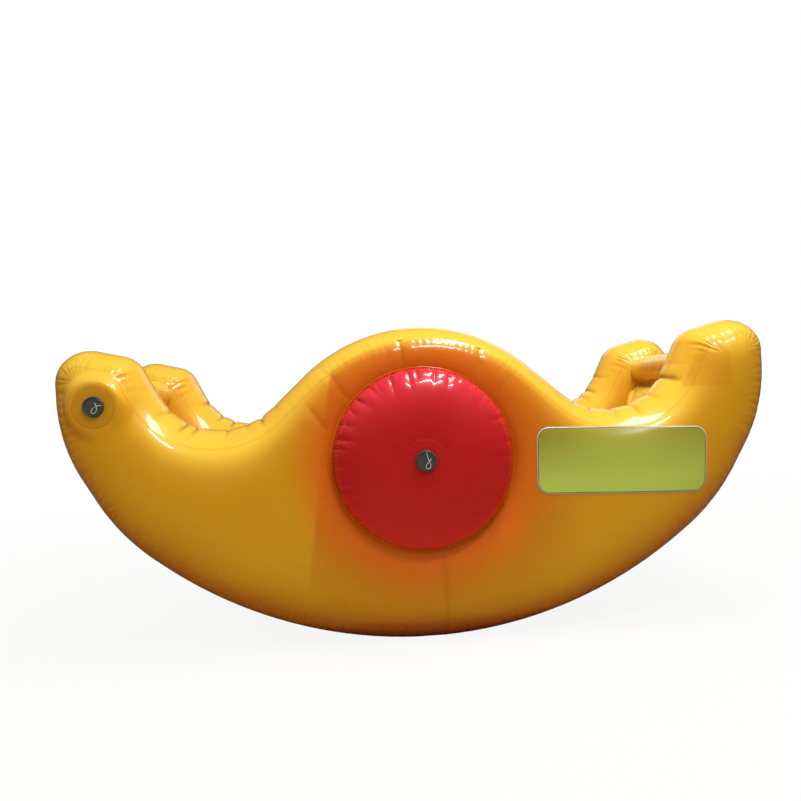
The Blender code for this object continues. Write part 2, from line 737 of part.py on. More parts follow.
def pad(name, side, low, high, thickness):
    """An inflated pad between two (x, z) points, crowned on both faces and drawn in at its edges."""
    start = Vector((side * low[0], low[1]))
    end = Vector((side * high[0], high[1]))
    run = end - start
    along = run.normalized()
    across = Vector((-along.y, along.x))
    bm = bmesh.new()
    bmesh.ops.create_grid(bm, x_segments=PAD_STEPS[0], y_segments=PAD_STEPS[1], size=0.5)
    top = bmesh.ops.duplicate(bm, geom=bm.faces[:])["geom"]
    upper = {v for v in top if isinstance(v, bmesh.types.BMVert)}
    for vert in bm.verts:
        u, v = vert.co.x * 2, vert.co.y * 2
        crown = math.sqrt(max(1 - u**4, 0)) * (1 - (1 - PAD_END_CROWN) * v**2)
        rise = thickness / 2 * crown * (1 if vert in upper else -1)
        spot = start + run * (u + 1) / 2 + across * rise
        vert.co = (spot.x, vert.co.y * SPAN, spot.y)
    bmesh.ops.remove_doubles(bm, verts=bm.verts, dist=0.0001)
    rims = [e for e in bm.edges if e.is_boundary]
    bmesh.ops.holes_fill(bm, edges=rims)
    bmesh.ops.recalc_face_normals(bm, faces=bm.faces)
    between_floats(name, mesh_from(name, bm, SOFT_SHADE))


for side, end in ((-1, "left"), (1, "right")):
    bolster(f"{end}_bolster", side)
    pad(f"{end}_backrest", side, BACKREST_FOOT, BACKREST_TOP, BACKREST_THICKNESS)
    pad(f"{end}_seat", side, SEAT_FRONT, SEAT_BACK, SEAT_THICKNESS)


# Label on the front float, welded on to the face and shaped to it
def label():
    centre = Vector(LABEL_CENTRE)
    turn = Matrix.Rotation(LABEL_TILT, 2)
    corners = []
    for x, z in ((-1, -1), (1, -1), (1, 1), (-1, 1)):
        corner = centre + turn @ Vector((x * LABEL_SIZE[0] / 2, z * LABEL_SIZE[1] / 2))
        corners.append((corner.x, corner.y, LABEL_CORNER))
    outline = [tuple(point) for point, _ in rounded(corners)]
    made = part("front_label", skin.copy(), LABEL, front)
    made.data.materials.clear()
    made.data.materials.append(material(LABEL))
    off = made.modifiers.new("off_the_face", "DISPLACE")
    off.mid_level = 0
    off.strength = GAP
    sheet = made.modifiers.new("sheet", "SOLIDIFY")
    sheet.thickness = LABEL_SHEET
    sheet.offset = 1
    block = slab("label_outline", -face_reach, -half_strip, outline)
    boolean(made, cutter("label_cut", block, front), "INTERSECT")


label()


# Grab handles on the drum, one for each rider
PATCH_FLOOR = DRUM_RADIUS + GAP
PATCH_TOP = PATCH_FLOOR + PATCH_SHEET
patch_sheet = tube("handle_patch_sheet", PATCH_FLOOR, PATCH_TOP, HANDLE_SPAN, DRUM_SIDES)


def box(name, size, centre):
    bm = bmesh.new()
    bmesh.ops.create_cube(bm, size=1, matrix=Matrix.Translation(centre) @ Matrix.Diagonal((*size, 1)))
    return mesh_from(name, bm)


def strap(name, frame):
    """Webbing that lies flat on its two feet and arches between them."""
    half = HANDLE_SPAN / 2
    base = PATCH_TOP + GAP
    line = [(-half - HANDLE_FOOT, base)]
    for k in range(STRAP_STEPS + 1):
        y = half * math.sin(math.pi * (k / STRAP_STEPS - 0.5))
        line.append((y, base + HANDLE_RISE * (1 - (y / half) ** 2) ** STRAP_FULLNESS))
    line.append((half + HANDLE_FOOT, base))
    bm = bmesh.new()
    left = [bm.verts.new((-STRAP_WIDTH / 2, y, z)) for y, z in line]
    edges = [bm.edges.new(pair) for pair in zip(left, left[1:])]
    side = bmesh.ops.extrude_edge_only(bm, edges=edges)["geom"]
    moved = [v for v in side if isinstance(v, bmesh.types.BMVert)]
    bmesh.ops.translate(bm, verts=moved, vec=(STRAP_WIDTH, 0, 0))
    bmesh.ops.recalc_face_normals(bm, faces=bm.faces)
    if sum(f.normal.z for f in bm.faces) < 0:
        bmesh.ops.reverse_faces(bm, faces=bm.faces)
    made = part(name, mesh_from(name, bm), WEBBING, frame)
    wall = made.modifiers.new("wall", "SOLIDIFY")
    wall.thickness = STRAP_SHEET
    wall.offset = 1


for side, end in ((-1, "left"), (1, "right")):
    lean = side * (math.pi / 2 - HANDLE_ANGLE)
    footing = empty(f"{end}_handle_frame", (0, 0, DRUM_HEIGHT), seesaw, (0, lean, 0))
    strap(f"{end}_grab_handle", footing)
    for way, where in ((-1, "front"), (1, "rear")):
        name = f"{end}_handle_{where}_patch"
        patch = part(name, patch_sheet, RED, seesaw)
        patch.location = (0, 0, DRUM_HEIGHT)
        middle = (0, way * (HANDLE_SPAN + HANDLE_FOOT) / 2, DRUM_RADIUS)
        block = box(name, (*HANDLE_PATCH, MARGIN / 2), middle)
        boolean(patch, cutter(f"{name}_cut", block, footing), "INTERSECT")
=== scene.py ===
"""Inflatable water seesaw, dressed for a picture.

Two crescent side floats of glossy yellow tarpaulin stand side by side, and a red drum runs through both. A
seat, and a backrest with a bolster on top, are held between them at each end. X runs along the seesaw, and the
ground is at Z = 0.
"""

import math

import bmesh
import bpy
import numpy as np
from mathutils import Matrix, Vector
from mathutils.bvhtree import BVHTree
from mathutils.geometry import delaunay_2d_cdt
from mathutils.kdtree import KDTree


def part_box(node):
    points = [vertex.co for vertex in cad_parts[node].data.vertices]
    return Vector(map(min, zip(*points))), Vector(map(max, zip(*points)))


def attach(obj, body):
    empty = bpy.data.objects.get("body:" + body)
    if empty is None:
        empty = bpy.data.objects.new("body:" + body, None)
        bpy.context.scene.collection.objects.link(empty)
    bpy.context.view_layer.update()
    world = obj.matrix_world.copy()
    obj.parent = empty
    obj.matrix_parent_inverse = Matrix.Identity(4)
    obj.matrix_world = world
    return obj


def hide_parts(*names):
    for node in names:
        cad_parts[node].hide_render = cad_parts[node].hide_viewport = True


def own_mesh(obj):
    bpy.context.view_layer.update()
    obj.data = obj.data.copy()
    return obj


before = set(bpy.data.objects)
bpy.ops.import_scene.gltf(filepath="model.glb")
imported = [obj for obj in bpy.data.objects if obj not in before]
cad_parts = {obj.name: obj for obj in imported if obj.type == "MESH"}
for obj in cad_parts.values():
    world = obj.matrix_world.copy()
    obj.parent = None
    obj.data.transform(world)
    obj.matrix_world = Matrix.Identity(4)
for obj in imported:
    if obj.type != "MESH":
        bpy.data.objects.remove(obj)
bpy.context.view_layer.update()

scene = bpy.context.scene
scene.view_settings.view_transform = "Standard"


# Camera. The photo was taken from in front of the seesaw, a little left of its middle and from below the
# height of its hump, with the camera tipped clockwise, so that the seesaw seems to lean up to the right.
eye = Vector((-0.197, -2.984, 0.794))
heading = math.radians(3.087)
tip = math.radians(3.06)
nod = math.radians(0.115)
level = Vector((math.cos(heading), -math.sin(heading), 0))
ahead = Vector((math.sin(heading), math.cos(heading), math.tan(nod))).normalized()
above = level.cross(ahead)
right = level * math.cos(tip) - above * math.sin(tip)
over = above * math.cos(tip) + level * math.sin(tip)
camera = bpy.data.objects.new("camera", bpy.data.cameras.new("camera"))
scene.collection.objects.link(camera)
photo_width, focal_length, sensor = 801, 750, 36  # the first two in pixels
camera.data.sensor_width = sensor
camera.data.lens = focal_length / photo_width * sensor
camera.matrix_world = Matrix.Translation(eye) @ Matrix((right, over, -ahead)).transposed().to_4x4()
scene.camera = camera


def linear(colour):
    """An sRGB hex colour as the linear one that a shader reads."""
    parts = [int(colour[i : i + 2], 16) / 255 for i in (1, 3, 5)]
    return tuple(c / 12.92 if c <= 0.04045 else ((c + 0.055) / 1.055) ** 2.4 for c in parts) + (1,)


def add(tree, kind, inputs=None, **settings):
    """One node with its settings, whose inputs are values or other nodes' outputs."""
    made = tree.nodes.new(kind)
    for name, value in settings.items():
        setattr(made, name, value)
    for socket, value in (inputs or {}).items():
        if isinstance(value, bpy.types.NodeSocket):
            tree.links.new(value, made.inputs[socket])
        else:
            made.inputs[socket].default_value = value
    return made


# Studio. Floor and surround are white, and dimmer in reflections, which keeps the colours full. A lamp
# overhead lights the tops, a long one high in front gives the highlights below the welds, and one at the
# front left and one behind fill the shadows. The floor keeps a soft shadow.
floor_half, floor_drop = 40, 0.0005
bm = bmesh.new()
bmesh.ops.create_grid(bm, x_segments=1, y_segments=1, size=floor_half)
bmesh.ops.translate(bm, verts=bm.verts, vec=(0, 0, -floor_drop))
floor = bpy.data.objects.new("floor", bpy.data.meshes.new("floor"))
bm.to_mesh(floor.data)
bm.free()
scene.collection.objects.link(floor)
paint = bpy.data.materials.new("white_studio_floor")
paint.use_nodes = True
tree = paint.node_tree
tree.nodes.clear()
as_colour = {"data_type": "RGBA"}
path = add(tree, "ShaderNodeLightPath")
seen, in_gloss = path.outputs["Is Camera Ray"], path.outputs["Is Glossy Ray"]
bounce = add(tree, "ShaderNodeMix", {0: in_gloss, 6: linear("#b2ada3"), 7: linear("#4a4844")}, **as_colour)
by_ray = add(tree, "ShaderNodeMix", {0: seen, 6: bounce.outputs[2], 7: linear("#e8e6e0")}, **as_colour)
matte = add(tree, "ShaderNodeBsdfDiffuse", {"Color": by_ray.outputs[2]})
glow = add(tree, "ShaderNodeEmission", {"Color": (1, 1, 1, 1), "Strength": 1.0})
spot = add(tree, "ShaderNodeTexCoord").outputs["Object"]
reach = add(tree, "ShaderNodeVectorMath", {0: spot}, operation="LENGTH")
share = add(tree, "ShaderNodeMapRange", {0: reach.outputs["Value"], 1: 1.2, 2: 5.0, 3: 0.90, 4: 1.0})
shining = add(tree, "ShaderNodeMath", {0: seen, 1: share.outputs[0]}, operation="MULTIPLY")
mixed = add(tree, "ShaderNodeMixShader", {0: shining.outputs[0], 1: matte.outputs[0], 2: glow.outputs[0]})
add(tree, "ShaderNodeOutputMaterial", {"Surface": mixed.outputs[0]})
floor.data.materials.append(paint)

surround = bpy.data.worlds.new("white_surround")
surround.use_nodes = True
tree = surround.node_tree
tree.nodes.clear()
path = add(tree, "ShaderNodeLightPath")
seen, in_gloss = path.outputs["Is Camera Ray"], path.outputs["Is Glossy Ray"]
light, in_reflections = 0.56, 0.09
dimmer = {0: in_gloss, 1: in_reflections - light, 2: light}
dimmed = add(tree, "ShaderNodeMath", dimmer, operation="MULTIPLY_ADD")
soft = add(tree, "ShaderNodeBackground", {"Color": linear("#ffffff"), "Strength": dimmed.outputs[0]})
white = add(tree, "ShaderNodeBackground", {"Color": linear("#ffffff"), "Strength": 1.0})
mixed = add(tree, "ShaderNodeMixShader", {0: seen, 1: soft.outputs[0], 2: white.outputs[0]})
add(tree, "ShaderNodeOutputWorld", {"Surface": mixed.outputs[0]})
scene.world = surround


def lamp(name, place, target, size, power, mirrored=True):
    """A soft oblong lamp, its size in metres, turned towards the target, and seen in glossy sheets or not."""
    light = bpy.data.lights.new(name, "AREA")
    light.shape = "RECTANGLE"
    light.size, light.size_y = size
    light.energy = power
    made = bpy.data.objects.new(name, light)
    made.visible_glossy = mirrored
    scene.collection.objects.link(made)
    aim = Vector(target) - Vector(place)
    made.matrix_world = Matrix.Translation(place) @ aim.to_track_quat("-Z", "Y").to_matrix().to_4x4()


lamp("overhead_lamp", (1.0, -0.9, 3.6), (0, -0.2, 0.6), (1.6, 0.7), 64)
lamp("highlight_lamp", (1.6, -4.8, 6.9), (0.1, -0.5, 0.7), (3.0, 0.45), 170)
lamp("front_left_lamp", (-3.4, -3.2, 2.4), (0, -0.4, 0.5), (2.0, 2.0), 15, False)
lamp("back_lamp", (1.5, 3.8, 2.6), (0, 0, 0.7), (3.0, 1.5), 9)


# Side floats. Each is cut from yellow PVC tarpaulin: two crescent faces, and an edge strip in two lengths
# that meet at the horns, welded along their rims and blown up hard. The air gathers the sheets into short
# creases square to the welds, which are shallow on the straight runs and deeper where the rim turns.
half_length, hump_top, end_slope = 1.2065, 1.047, math.radians(14)
strip_half, strip_bulge, face_bulge = 0.12, 0.045, 0.055
float_middle, drum_height, drum_radius = 0.40, 0.605, 0.292
shift = 0.0061  # the floats' own middle lies this far behind Y = 0
shoulder, foot, dip = (0.945, 0.9873), (0.838, 0.7733), (0.606, 0.699)
horn_top = shoulder[1] + (half_length - shoulder[0]) * math.tan(end_slope)
end_corners = [(1.019, 0.3896, 0.70), (half_length, 0.713, 0.56), (half_length, horn_top, 0.11)]
end_corners += [(*shoulder, 0.09), (*foot, 0.22), (*dip, 0.25)]


def middle_corner(near, rim, radius, side):
    """The corner on X = 0 whose rounding touches rim, with its flank running to the corner near."""
    reach = Vector((0, rim - side * radius)) - Vector(near[:2])
    heading = math.atan2(reach.y, reach.x) - side * math.asin(radius / reach.length)
    return (0, near[1] - near[0] * math.tan(heading), radius)


def rounded_line(corners, step):
    """Points about a step apart round an outline of (x, z, radius) corners, and their outward normals."""
    spots = [Vector(corner[:2]) for corner in corners]
    sides = [(spots[i] - spots[i - 1]).length for i in range(len(spots))]
    bends = []
    for i, spot in enumerate(spots):
        before, after = (spots[i - 1] - spot).normalized(), (spots[(i + 1) % len(spots)] - spot).normalized()
        bends.append((before, after, before.angle(after) / 2))
    wanted = [corner[2] / math.tan(bend[2]) for corner, bend in zip(corners, bends)]
    room = [min(1, 0.999 * side / (wanted[i] + wanted[i - 1])) for i, side in enumerate(sides)]
    points = []
    for i, (before, after, half) in enumerate(bends):
        run = wanted[i] * min(room[i], room[(i + 1) % len(room)])
        radius = run * math.tan(half)
        centre = spots[i] + (before + after).normalized() * (radius / math.sin(half))
        sweep = math.pi - 2 * half
        if before.x * after.y > before.y * after.x:
            sweep = -sweep
        first = spots[i] + before * run - centre
        for k in range(41):
            points.append(tuple(centre + Matrix.Rotation(sweep * k / 40, 2) @ first))
    points = np.array(points + points[:1])
    way = np.concatenate(([0], np.cumsum(np.linalg.norm(np.diff(points, axis=0), axis=1))))
    count = round(way[-1] / step)
    marks = np.arange(count) * way[-1] / count
    line = np.stack([np.interp(marks, way, points[:, 0]), np.interp(marks, way, points[:, 1])], axis=1)
    ahead = np.roll(line, -1, axis=0) - np.roll(line, 1, axis=0)
    ahead /= np.linalg.norm(ahead, axis=1)[:, None]
    return line, np.stack([ahead[:, 1], -ahead[:, 0]], axis=1)


belly = middle_corner(end_corners[0], -0.011, 1.46, -1)
hump = middle_corner(end_corners[-1], hump_top, 0.573, 1)
mirrored = [(-x, z, radius) for x, z, radius in reversed(end_corners)]
rim, rim_out = rounded_line([belly] + end_corners + [hump] + mirrored, 0.005)
weld = rim - rim_out * strip_bulge
pitch = np.linalg.norm(rim - np.roll(rim, 1, axis=0), axis=1).mean()
run_round = pitch * len(rim)
weld_ahead = np.stack([-rim_out[:, 1], rim_out[:, 0]], axis=1)
weld_tree = KDTree(len(weld))
for i, (x, z) in enumerate(weld):
    weld_tree.insert((x, z, 0), i)
weld_tree.balance()


def from_weld(points):
    """How far round the rim each (x, z) point lies, and how far in from the weld."""
    nearest = np.array([weld_tree.find((x, z, 0))[1] for x, z in points])
    gap = points - weld[nearest]
    along = nearest * pitch + (gap * weld_ahead[nearest]).sum(axis=1)
    return along, np.where((gap * rim_out[nearest]).sum(axis=1) <= 1e-6, np.linalg.norm(gap, axis=1), -1)


def bending(normals, window):
    """How sharply the closed line of weld normals turns at each point, evened out over a window of points."""
    angle = np.unwrap(np.arctan2(normals[:, 1], normals[:, 0]))
    turned = np.diff(np.concatenate((angle, [angle[0] + math.tau]))) / pitch
    kernel = np.hanning(window + 2)[1:-1]
    padded = np.concatenate((turned[-window:], turned, turned[:window]))
    return np.convolve(padded, kernel / kernel.sum(), "same")[window:-window]


def creases(along, away, run, spacing, reach, seed, lean=0.3, narrow=0.0055, flare=0.22):
    """Depth from 0 to 1 of the short creases that stand on a closed weld of that run, square to it."""
    dice = np.random.default_rng(seed)
    count = round(run / spacing)
    centres = (np.arange(count) + dice.uniform(-0.26, 0.26, count)) * run / count
    strengths = dice.uniform(0.4, 1.0, count)
    reaches = reach * dice.uniform(0.6, 1.3, count)
    leans = dice.uniform(-lean, lean, count)
    first = np.floor(along / run * count).astype(int)
    depth = np.zeros(len(along))
    for step in range(-2, 3):
        k = (first + step) % count
        gap = along - centres[k] - leans[k] * away
        gap = (gap + run / 2) % run - run / 2
        fading = np.abs(gap / (narrow + flare * away)) ** 1.25 + (away / reaches[k]) ** 1.7
        depth = np.maximum(depth, strengths[k] * np.exp(-fading))
    return depth


def filled(loops, inner, hole):
    """The points and triangles of a flat sheet inside the first of the (x, z) loops, with a round hole."""
    points, edges = [], []
    for loop in loops:
        edges += [(len(points) + k, len(points) + (k + 1) % len(loop)) for k in range(len(loop))]
        points += [Vector(p) for p in loop]
    points += [Vector(p) for p in inner]
    found, _, triangles, _, _, _ = delaunay_2d_cdt(points, edges, [list(range(len(loops[0])))], 1, 1e-6)
    found, triangles = np.array([tuple(p) for p in found]), np.array(triangles)
    middle = found[triangles].mean(axis=1)
    return found, triangles[np.linalg.norm(middle - (0, drum_height), axis=1) > hole]


def blown(points, triangles, held, reach):
    """Heights of a sheet that air pushes out towards 1, held where held is a number and free where it is nan."""
    corner = points[triangles]
    a = triangles.ravel()
    b = np.roll(triangles, -1, axis=1).ravel()
    to_a = (corner - np.roll(corner, -2, axis=1)).reshape(-1, 2)
    to_b = (np.roll(corner, -1, axis=1) - np.roll(corner, -2, axis=1)).reshape(-1, 2)
    cross = np.abs(to_a[:, 0] * to_b[:, 1] - to_a[:, 1] * to_b[:, 0])
    stiff = 0.5 * (to_a * to_b).sum(axis=1) / np.maximum(cross, 1e-12)
    push = np.bincount(a, cross / 6, len(points)) / reach**2

    def pull(u):
        flow = stiff * (u[a] - u[b])
        return np.bincount(a, flow, len(points)) - np.bincount(b, flow, len(points)) + push * u

    free = np.isnan(held)
    ease = np.bincount(a, stiff, len(points)) + np.bincount(b, stiff, len(points)) + push
    height = np.where(free, 0.5, held)
    left = np.where(free, push - pull(height), 0)
    step = left / ease
    score = (left * step).sum()
    for _ in range(400):
        pulled = np.where(free, pull(step), 0)
        share = score / (step * pulled).sum()
        height = height + share * step
        left = left - share * pulled
        eased = left / ease
        score, before = (left * eased).sum(), score
        step = eased + score / before * step
        if score < 1e-12:
            break
    return height


hole_clearance, point_spacing = 0.0019, 0.0085
face_hole = drum_radius + hole_clearance
hole_turns = np.arange(360) * math.tau / 360
hole_ring = np.stack([np.cos(hole_turns), np.sin(hole_turns)], axis=1)
drum_axis = np.array([0, drum_height])
loops = [weld, drum_axis + face_hole * hole_ring]
edge_band = 0.05  # how far from a weld the finishes still tell its nearness
by_welds = [0.002, 0.0045, 0.0075, 0.011, 0.015, 0.020, 0.026, 0.033, 0.041, 0.050]
by_hole = [0.003, 0.007, 0.012, 0.018, 0.025, 0.033, 0.041]
inner = []
for away in by_welds:
    row = weld - rim_out * away
    _, depth = from_weld(row)
    inner.append(row[depth > 0.93 * away])
for away in by_hole:
    inner.append(drum_axis + (face_hole + away) * hole_ring)
lengthwise, upwards = np.arange(-1.19, 1.19, point_spacing), np.arange(0.03, 1.02, point_spacing)
lattice = np.stack(np.meshgrid(lengthwise, upwards), axis=-1).reshape(-1, 2)
_, depth = from_weld(lattice)
off_drum = np.linalg.norm(lattice - drum_axis, axis=1) - face_hole
inner.append(lattice[(depth > 0.056) & (off_drum > 0.047)])
inner = np.concatenate(inner)
_, depth = from_weld(inner)
off_drum = np.linalg.norm(inner - drum_axis, axis=1) - face_hole
inner = inner[(depth > 0.0015) & (off_drum > 0.002)]
flat, triangles = filled(loops, inner, face_hole * 0.998)
_, away = from_weld(flat)
away = np.maximum(away, 0)
off_drum = np.linalg.norm(flat - drum_axis, axis=1) - face_hole
height_at_drum = 0.35
held = np.where(away < 1e-4, 0.0, np.where(off_drum < 1e-4, height_at_drum, np.nan))
rise = face_bulge * blown(flat, triangles, held, 0.05)

valve_spot, valve_hole = np.array([-1.039, 0.83]), 0.024
valve_rise, valve_flat, valve_slope = 0.049504, 0.0705, 0.05
by_valve = 1 - np.clip((np.linalg.norm(flat - valve_spot, axis=1) - valve_flat) / valve_slope, 0, 1)
by_weld = np.clip(away / 0.03, 0, 1)
plateau = by_valve**2 * (3 - 2 * by_valve) * by_weld**2 * (3 - 2 * by_weld)
outer_rise = rise + (valve_rise - rise) * plateau

# Gathers are deeper where the rim turns outwards, drawn flat again in its sharpest turns, and weaker away from
# the horns. Folds cross the strip where the rim turns inwards, in the dips.
turning = bending(rim_out, 24)
gathered = np.clip(0.18 + 0.16 * turning, 0, 0.72)
gathered *= np.interp(np.abs(rim[:, 0]), (0.8, 1.0), (0.62, 1))
gathered *= 1 - 0.55 * np.clip((turning - 4) / 5, 0, 1)
pinched = np.clip(-turning / 5, 0, 1)


def strip_height(y):
    """How far the edge strip stands out from its welds at this distance from its middle."""
    radius = (strip_half**2 + strip_bulge**2) / (2 * strip_bulge)
    return np.sqrt(radius**2 - y**2) - radius + strip_bulge


def long_creases(points, lines):
    """Depth of single creases, each given by its two (x, z) ends, its half width and its depth in metres."""
    depth = np.zeros(len(points))
    for a, b, width, deep in lines:
        a, b = np.array(a), np.array(b)
        run = b - a
        share = ((points - a) @ run) / (run @ run)
        side = np.abs((points - a) @ np.array([-run[1], run[0]])) / np.linalg.norm(run)
        ends = np.clip(np.minimum(share, 1 - share) * 4 + 0.15, 0, 1) * ((share > -0.03) & (share < 1.03))
        depth = np.maximum(depth, deep * ends * np.exp(-((side / width) ** 1.4)))
    return depth


def points_of(data):
    """The places and the normals of a mesh's points."""
    spots, normals = np.empty((2, len(data.vertices) * 3), dtype=np.float32)
    data.vertices.foreach_get("co", spots)
    data.vertices.foreach_get("normal", normals)
    return spots.reshape(-1, 3).astype(float), normals.reshape(-1, 3).astype(float)


def moved(data, spots, **shares):
    """Moves a mesh's points, and writes shares from 0 to 1 on them for its finish to read."""
    data.vertices.foreach_set("co", spots.astype(np.float32).ravel())
    for name, values in shares.items():
        layer = data.attributes.new(name, "FLOAT", "POINT")
        layer.data.foreach_set("value", np.clip(values, 0, 1).astype(np.float32))
    data.update()


def kept(name, bm, place=Matrix()):
    """The mesh made from a bmesh, moved to its place."""
    bmesh.ops.recalc_face_normals(bm, faces=bm.faces)
    data = bpy.data.meshes.new(name)
    bm.to_mesh(data)
    bm.free()
    data.transform(place)
    return data


def float_shell(name):
    """One float as a single welded skin, with its panels numbered: 0 outer, 1 inner, 2 top and 3 bottom strip."""
    bm = bmesh.new()
    off_valve = np.linalg.norm(flat[triangles].mean(axis=1) - valve_spot, axis=1) > valve_hole
    for number, side, height, sheet in ((0, -1, outer_rise, triangles[off_valve]), (1, 1, rise, triangles)):
        verts = [bm.verts.new((x, side * (strip_half + h), z)) for (x, z), h in zip(flat, height)]
        for a, b, c in sheet:
            bm.faces.new((verts[a], verts[b], verts[c])).material_index = number
    across = np.array(by_welds + [0.060, 0.071, 0.083, 0.095, 0.108])
    ys = np.concatenate(([-strip_half], across - strip_half, [0], (strip_half - across)[::-1], [strip_half]))
    on_top = rim[:, 1] > np.interp(np.abs(rim[:, 0]), (0.6, 1.1, 1.3), (0.45, 0.80, 0.866))
    columns = []
    for y in ys:
        ring = weld + rim_out * strip_height(y)
        columns.append([bm.verts.new((x, y, z)) for x, z in ring])
    for low, high in zip(columns, columns[1:]):
        for k in range(len(low)):
            j = (k + 1) % len(low)
            face = bm.faces.new((low[k], low[j], high[j], high[k]))
            face.material_index = 2 if on_top[k] else 3
    bmesh.ops.remove_doubles(bm, verts=bm.verts, dist=0.0002)
    return kept(name, bm)


outer_gather, inner_gather, gather_spacing, gather_reach = 0.0068, 0.0095, 0.027, 0.038
fold_depth, fold_spacing, fold_reach = 0.0125, 0.070, 0.085
tuck_depth, tuck_spacing, tuck_reach = 0.0022, 0.06, 0.05
wander_depth = 0.0006


def slackened(data, seed):
    """Sinks a float's gathers, folds and creases into its skin, and writes its welds and its folds' painted shade.
    """
    spots, normals = points_of(data)
    plan = spots[:, [0, 2]]
    from_middle = np.abs(spots[:, 1])
    on_strip = from_middle < strip_half - 1e-4
    way, inward = from_weld(plan)
    inward = np.maximum(inward, 0)
    from_edge = np.where(on_strip, strip_half - from_middle, inward)
    slot = (way / pitch).astype(int) % len(rim)
    sink, painted_fold_shade = np.zeros(len(spots)), np.zeros(len(spots))
    for side, dice, deep in ((-1, seed, outer_gather), (1, seed + 7, inner_gather)):
        here = np.sign(spots[:, 1] + 1e-9) == side
        gather = creases(way, from_edge, run_round, gather_spacing, gather_reach, dice)
        swell = 0.38 * np.exp(-((from_edge / 0.036) ** 1.7))
        sunk = gathered[slot] * deep * (gather - swell) * (1 - 0.45 * np.exp(-from_edge / 0.004))
        sink = np.where(here, sunk, sink)
        # Painted shade in the deeper gathers.
        painted_fold_shade = np.where(here, 0.9 * gathered[slot] * np.clip(gather - 0.35, 0, 1), painted_fold_shade)
    shape = {"lean": 0.12, "narrow": 0.0075, "flare": 0.08}
    fold = creases(way, from_middle * 0.45, run_round, fold_spacing, fold_reach, seed + 3, **shape)
    folded = pinched[slot] * np.where(on_strip, np.clip((from_edge - 0.008) / 0.04, 0, 1), 0)
    sink += fold_depth * folded * (fold - 0.14)
    painted_fold_shade = np.maximum(painted_fold_shade, folded * np.clip(fold - 0.25, 0, 1))
    faces = ~on_strip & (inward > 1e-4)
    front = faces & (spots[:, 1] < 0)
    around = (np.arctan2(plan[:, 1] - drum_height, plan[:, 0]) + math.pi) * face_hole
    hole_gap = np.linalg.norm(plan - drum_axis, axis=1) - face_hole
    past = np.maximum(hole_gap, 0)
    tucks = creases(around, past, math.tau * face_hole, tuck_spacing, tuck_reach, seed + 5)
    sink += np.where(faces, tuck_depth * tucks * np.clip((hole_gap - 0.016) / 0.02, 0, 1), 0)
    lines = np.where(front, long_creases(plan, front_creases), 0)
    sink += lines
    # Painted shade along the single creases.
    painted_fold_shade = np.maximum(painted_fold_shade, 36 * lines)
    wander = np.sin(plan[:, 0] * 23 + seed) * np.sin(plan[:, 1] * 19 + 2 * seed)
    wander += np.sin(plan[:, 0] * 9 - plan[:, 1] * 14)
    wander *= np.clip(inward / 0.06, 0, 1) * np.clip(hole_gap / 0.05, 0, 1)
    sink += np.where(faces, wander_depth * wander, 0)
    off_patch = np.clip((np.linalg.norm(plan - valve_spot, axis=1) - 0.08) / 0.04, 0, 1)
    sink = np.where(front, sink * off_patch, sink)
    spots -= normals * sink[:, None]
    spots[:, 2] = np.maximum(spots[:, 2], 0)
    moved(data, spots, edge=np.where(on_strip, 1, 1 - from_edge / edge_band), fold=painted_fold_shade)


# Single creases of the front float's outer face, where it is drawn tight over the drum and down to the foot.
front_creases = [((-0.052, 0.90), (-0.06, 1.02), 0.009, 0.0042), ((0.20, 0.87), (0.21, 1.0), 0.009, 0.0038)]
front_creases += [((-0.23, 0.80), (-0.30, 0.91), 0.009, 0.0038), ((0.25, 0.80), (0.31, 0.87), 0.008, 0.0016)]
front_creases += [((0.049, 0.33), (0.052, 0.03), 0.0075, 0.0046)]
front_creases += [((-0.30, 0.70), (-0.37, 0.80), 0.009, 0.0034)]


smoothly = {"interpolation_type": "SMOOTHSTEP"}


def new_finish(name):
    """A new material, its nodes and its shader."""
    made = bpy.data.materials.new(name)
    made.use_nodes = True
    return made, made.node_tree, made.node_tree.nodes["Principled BSDF"]


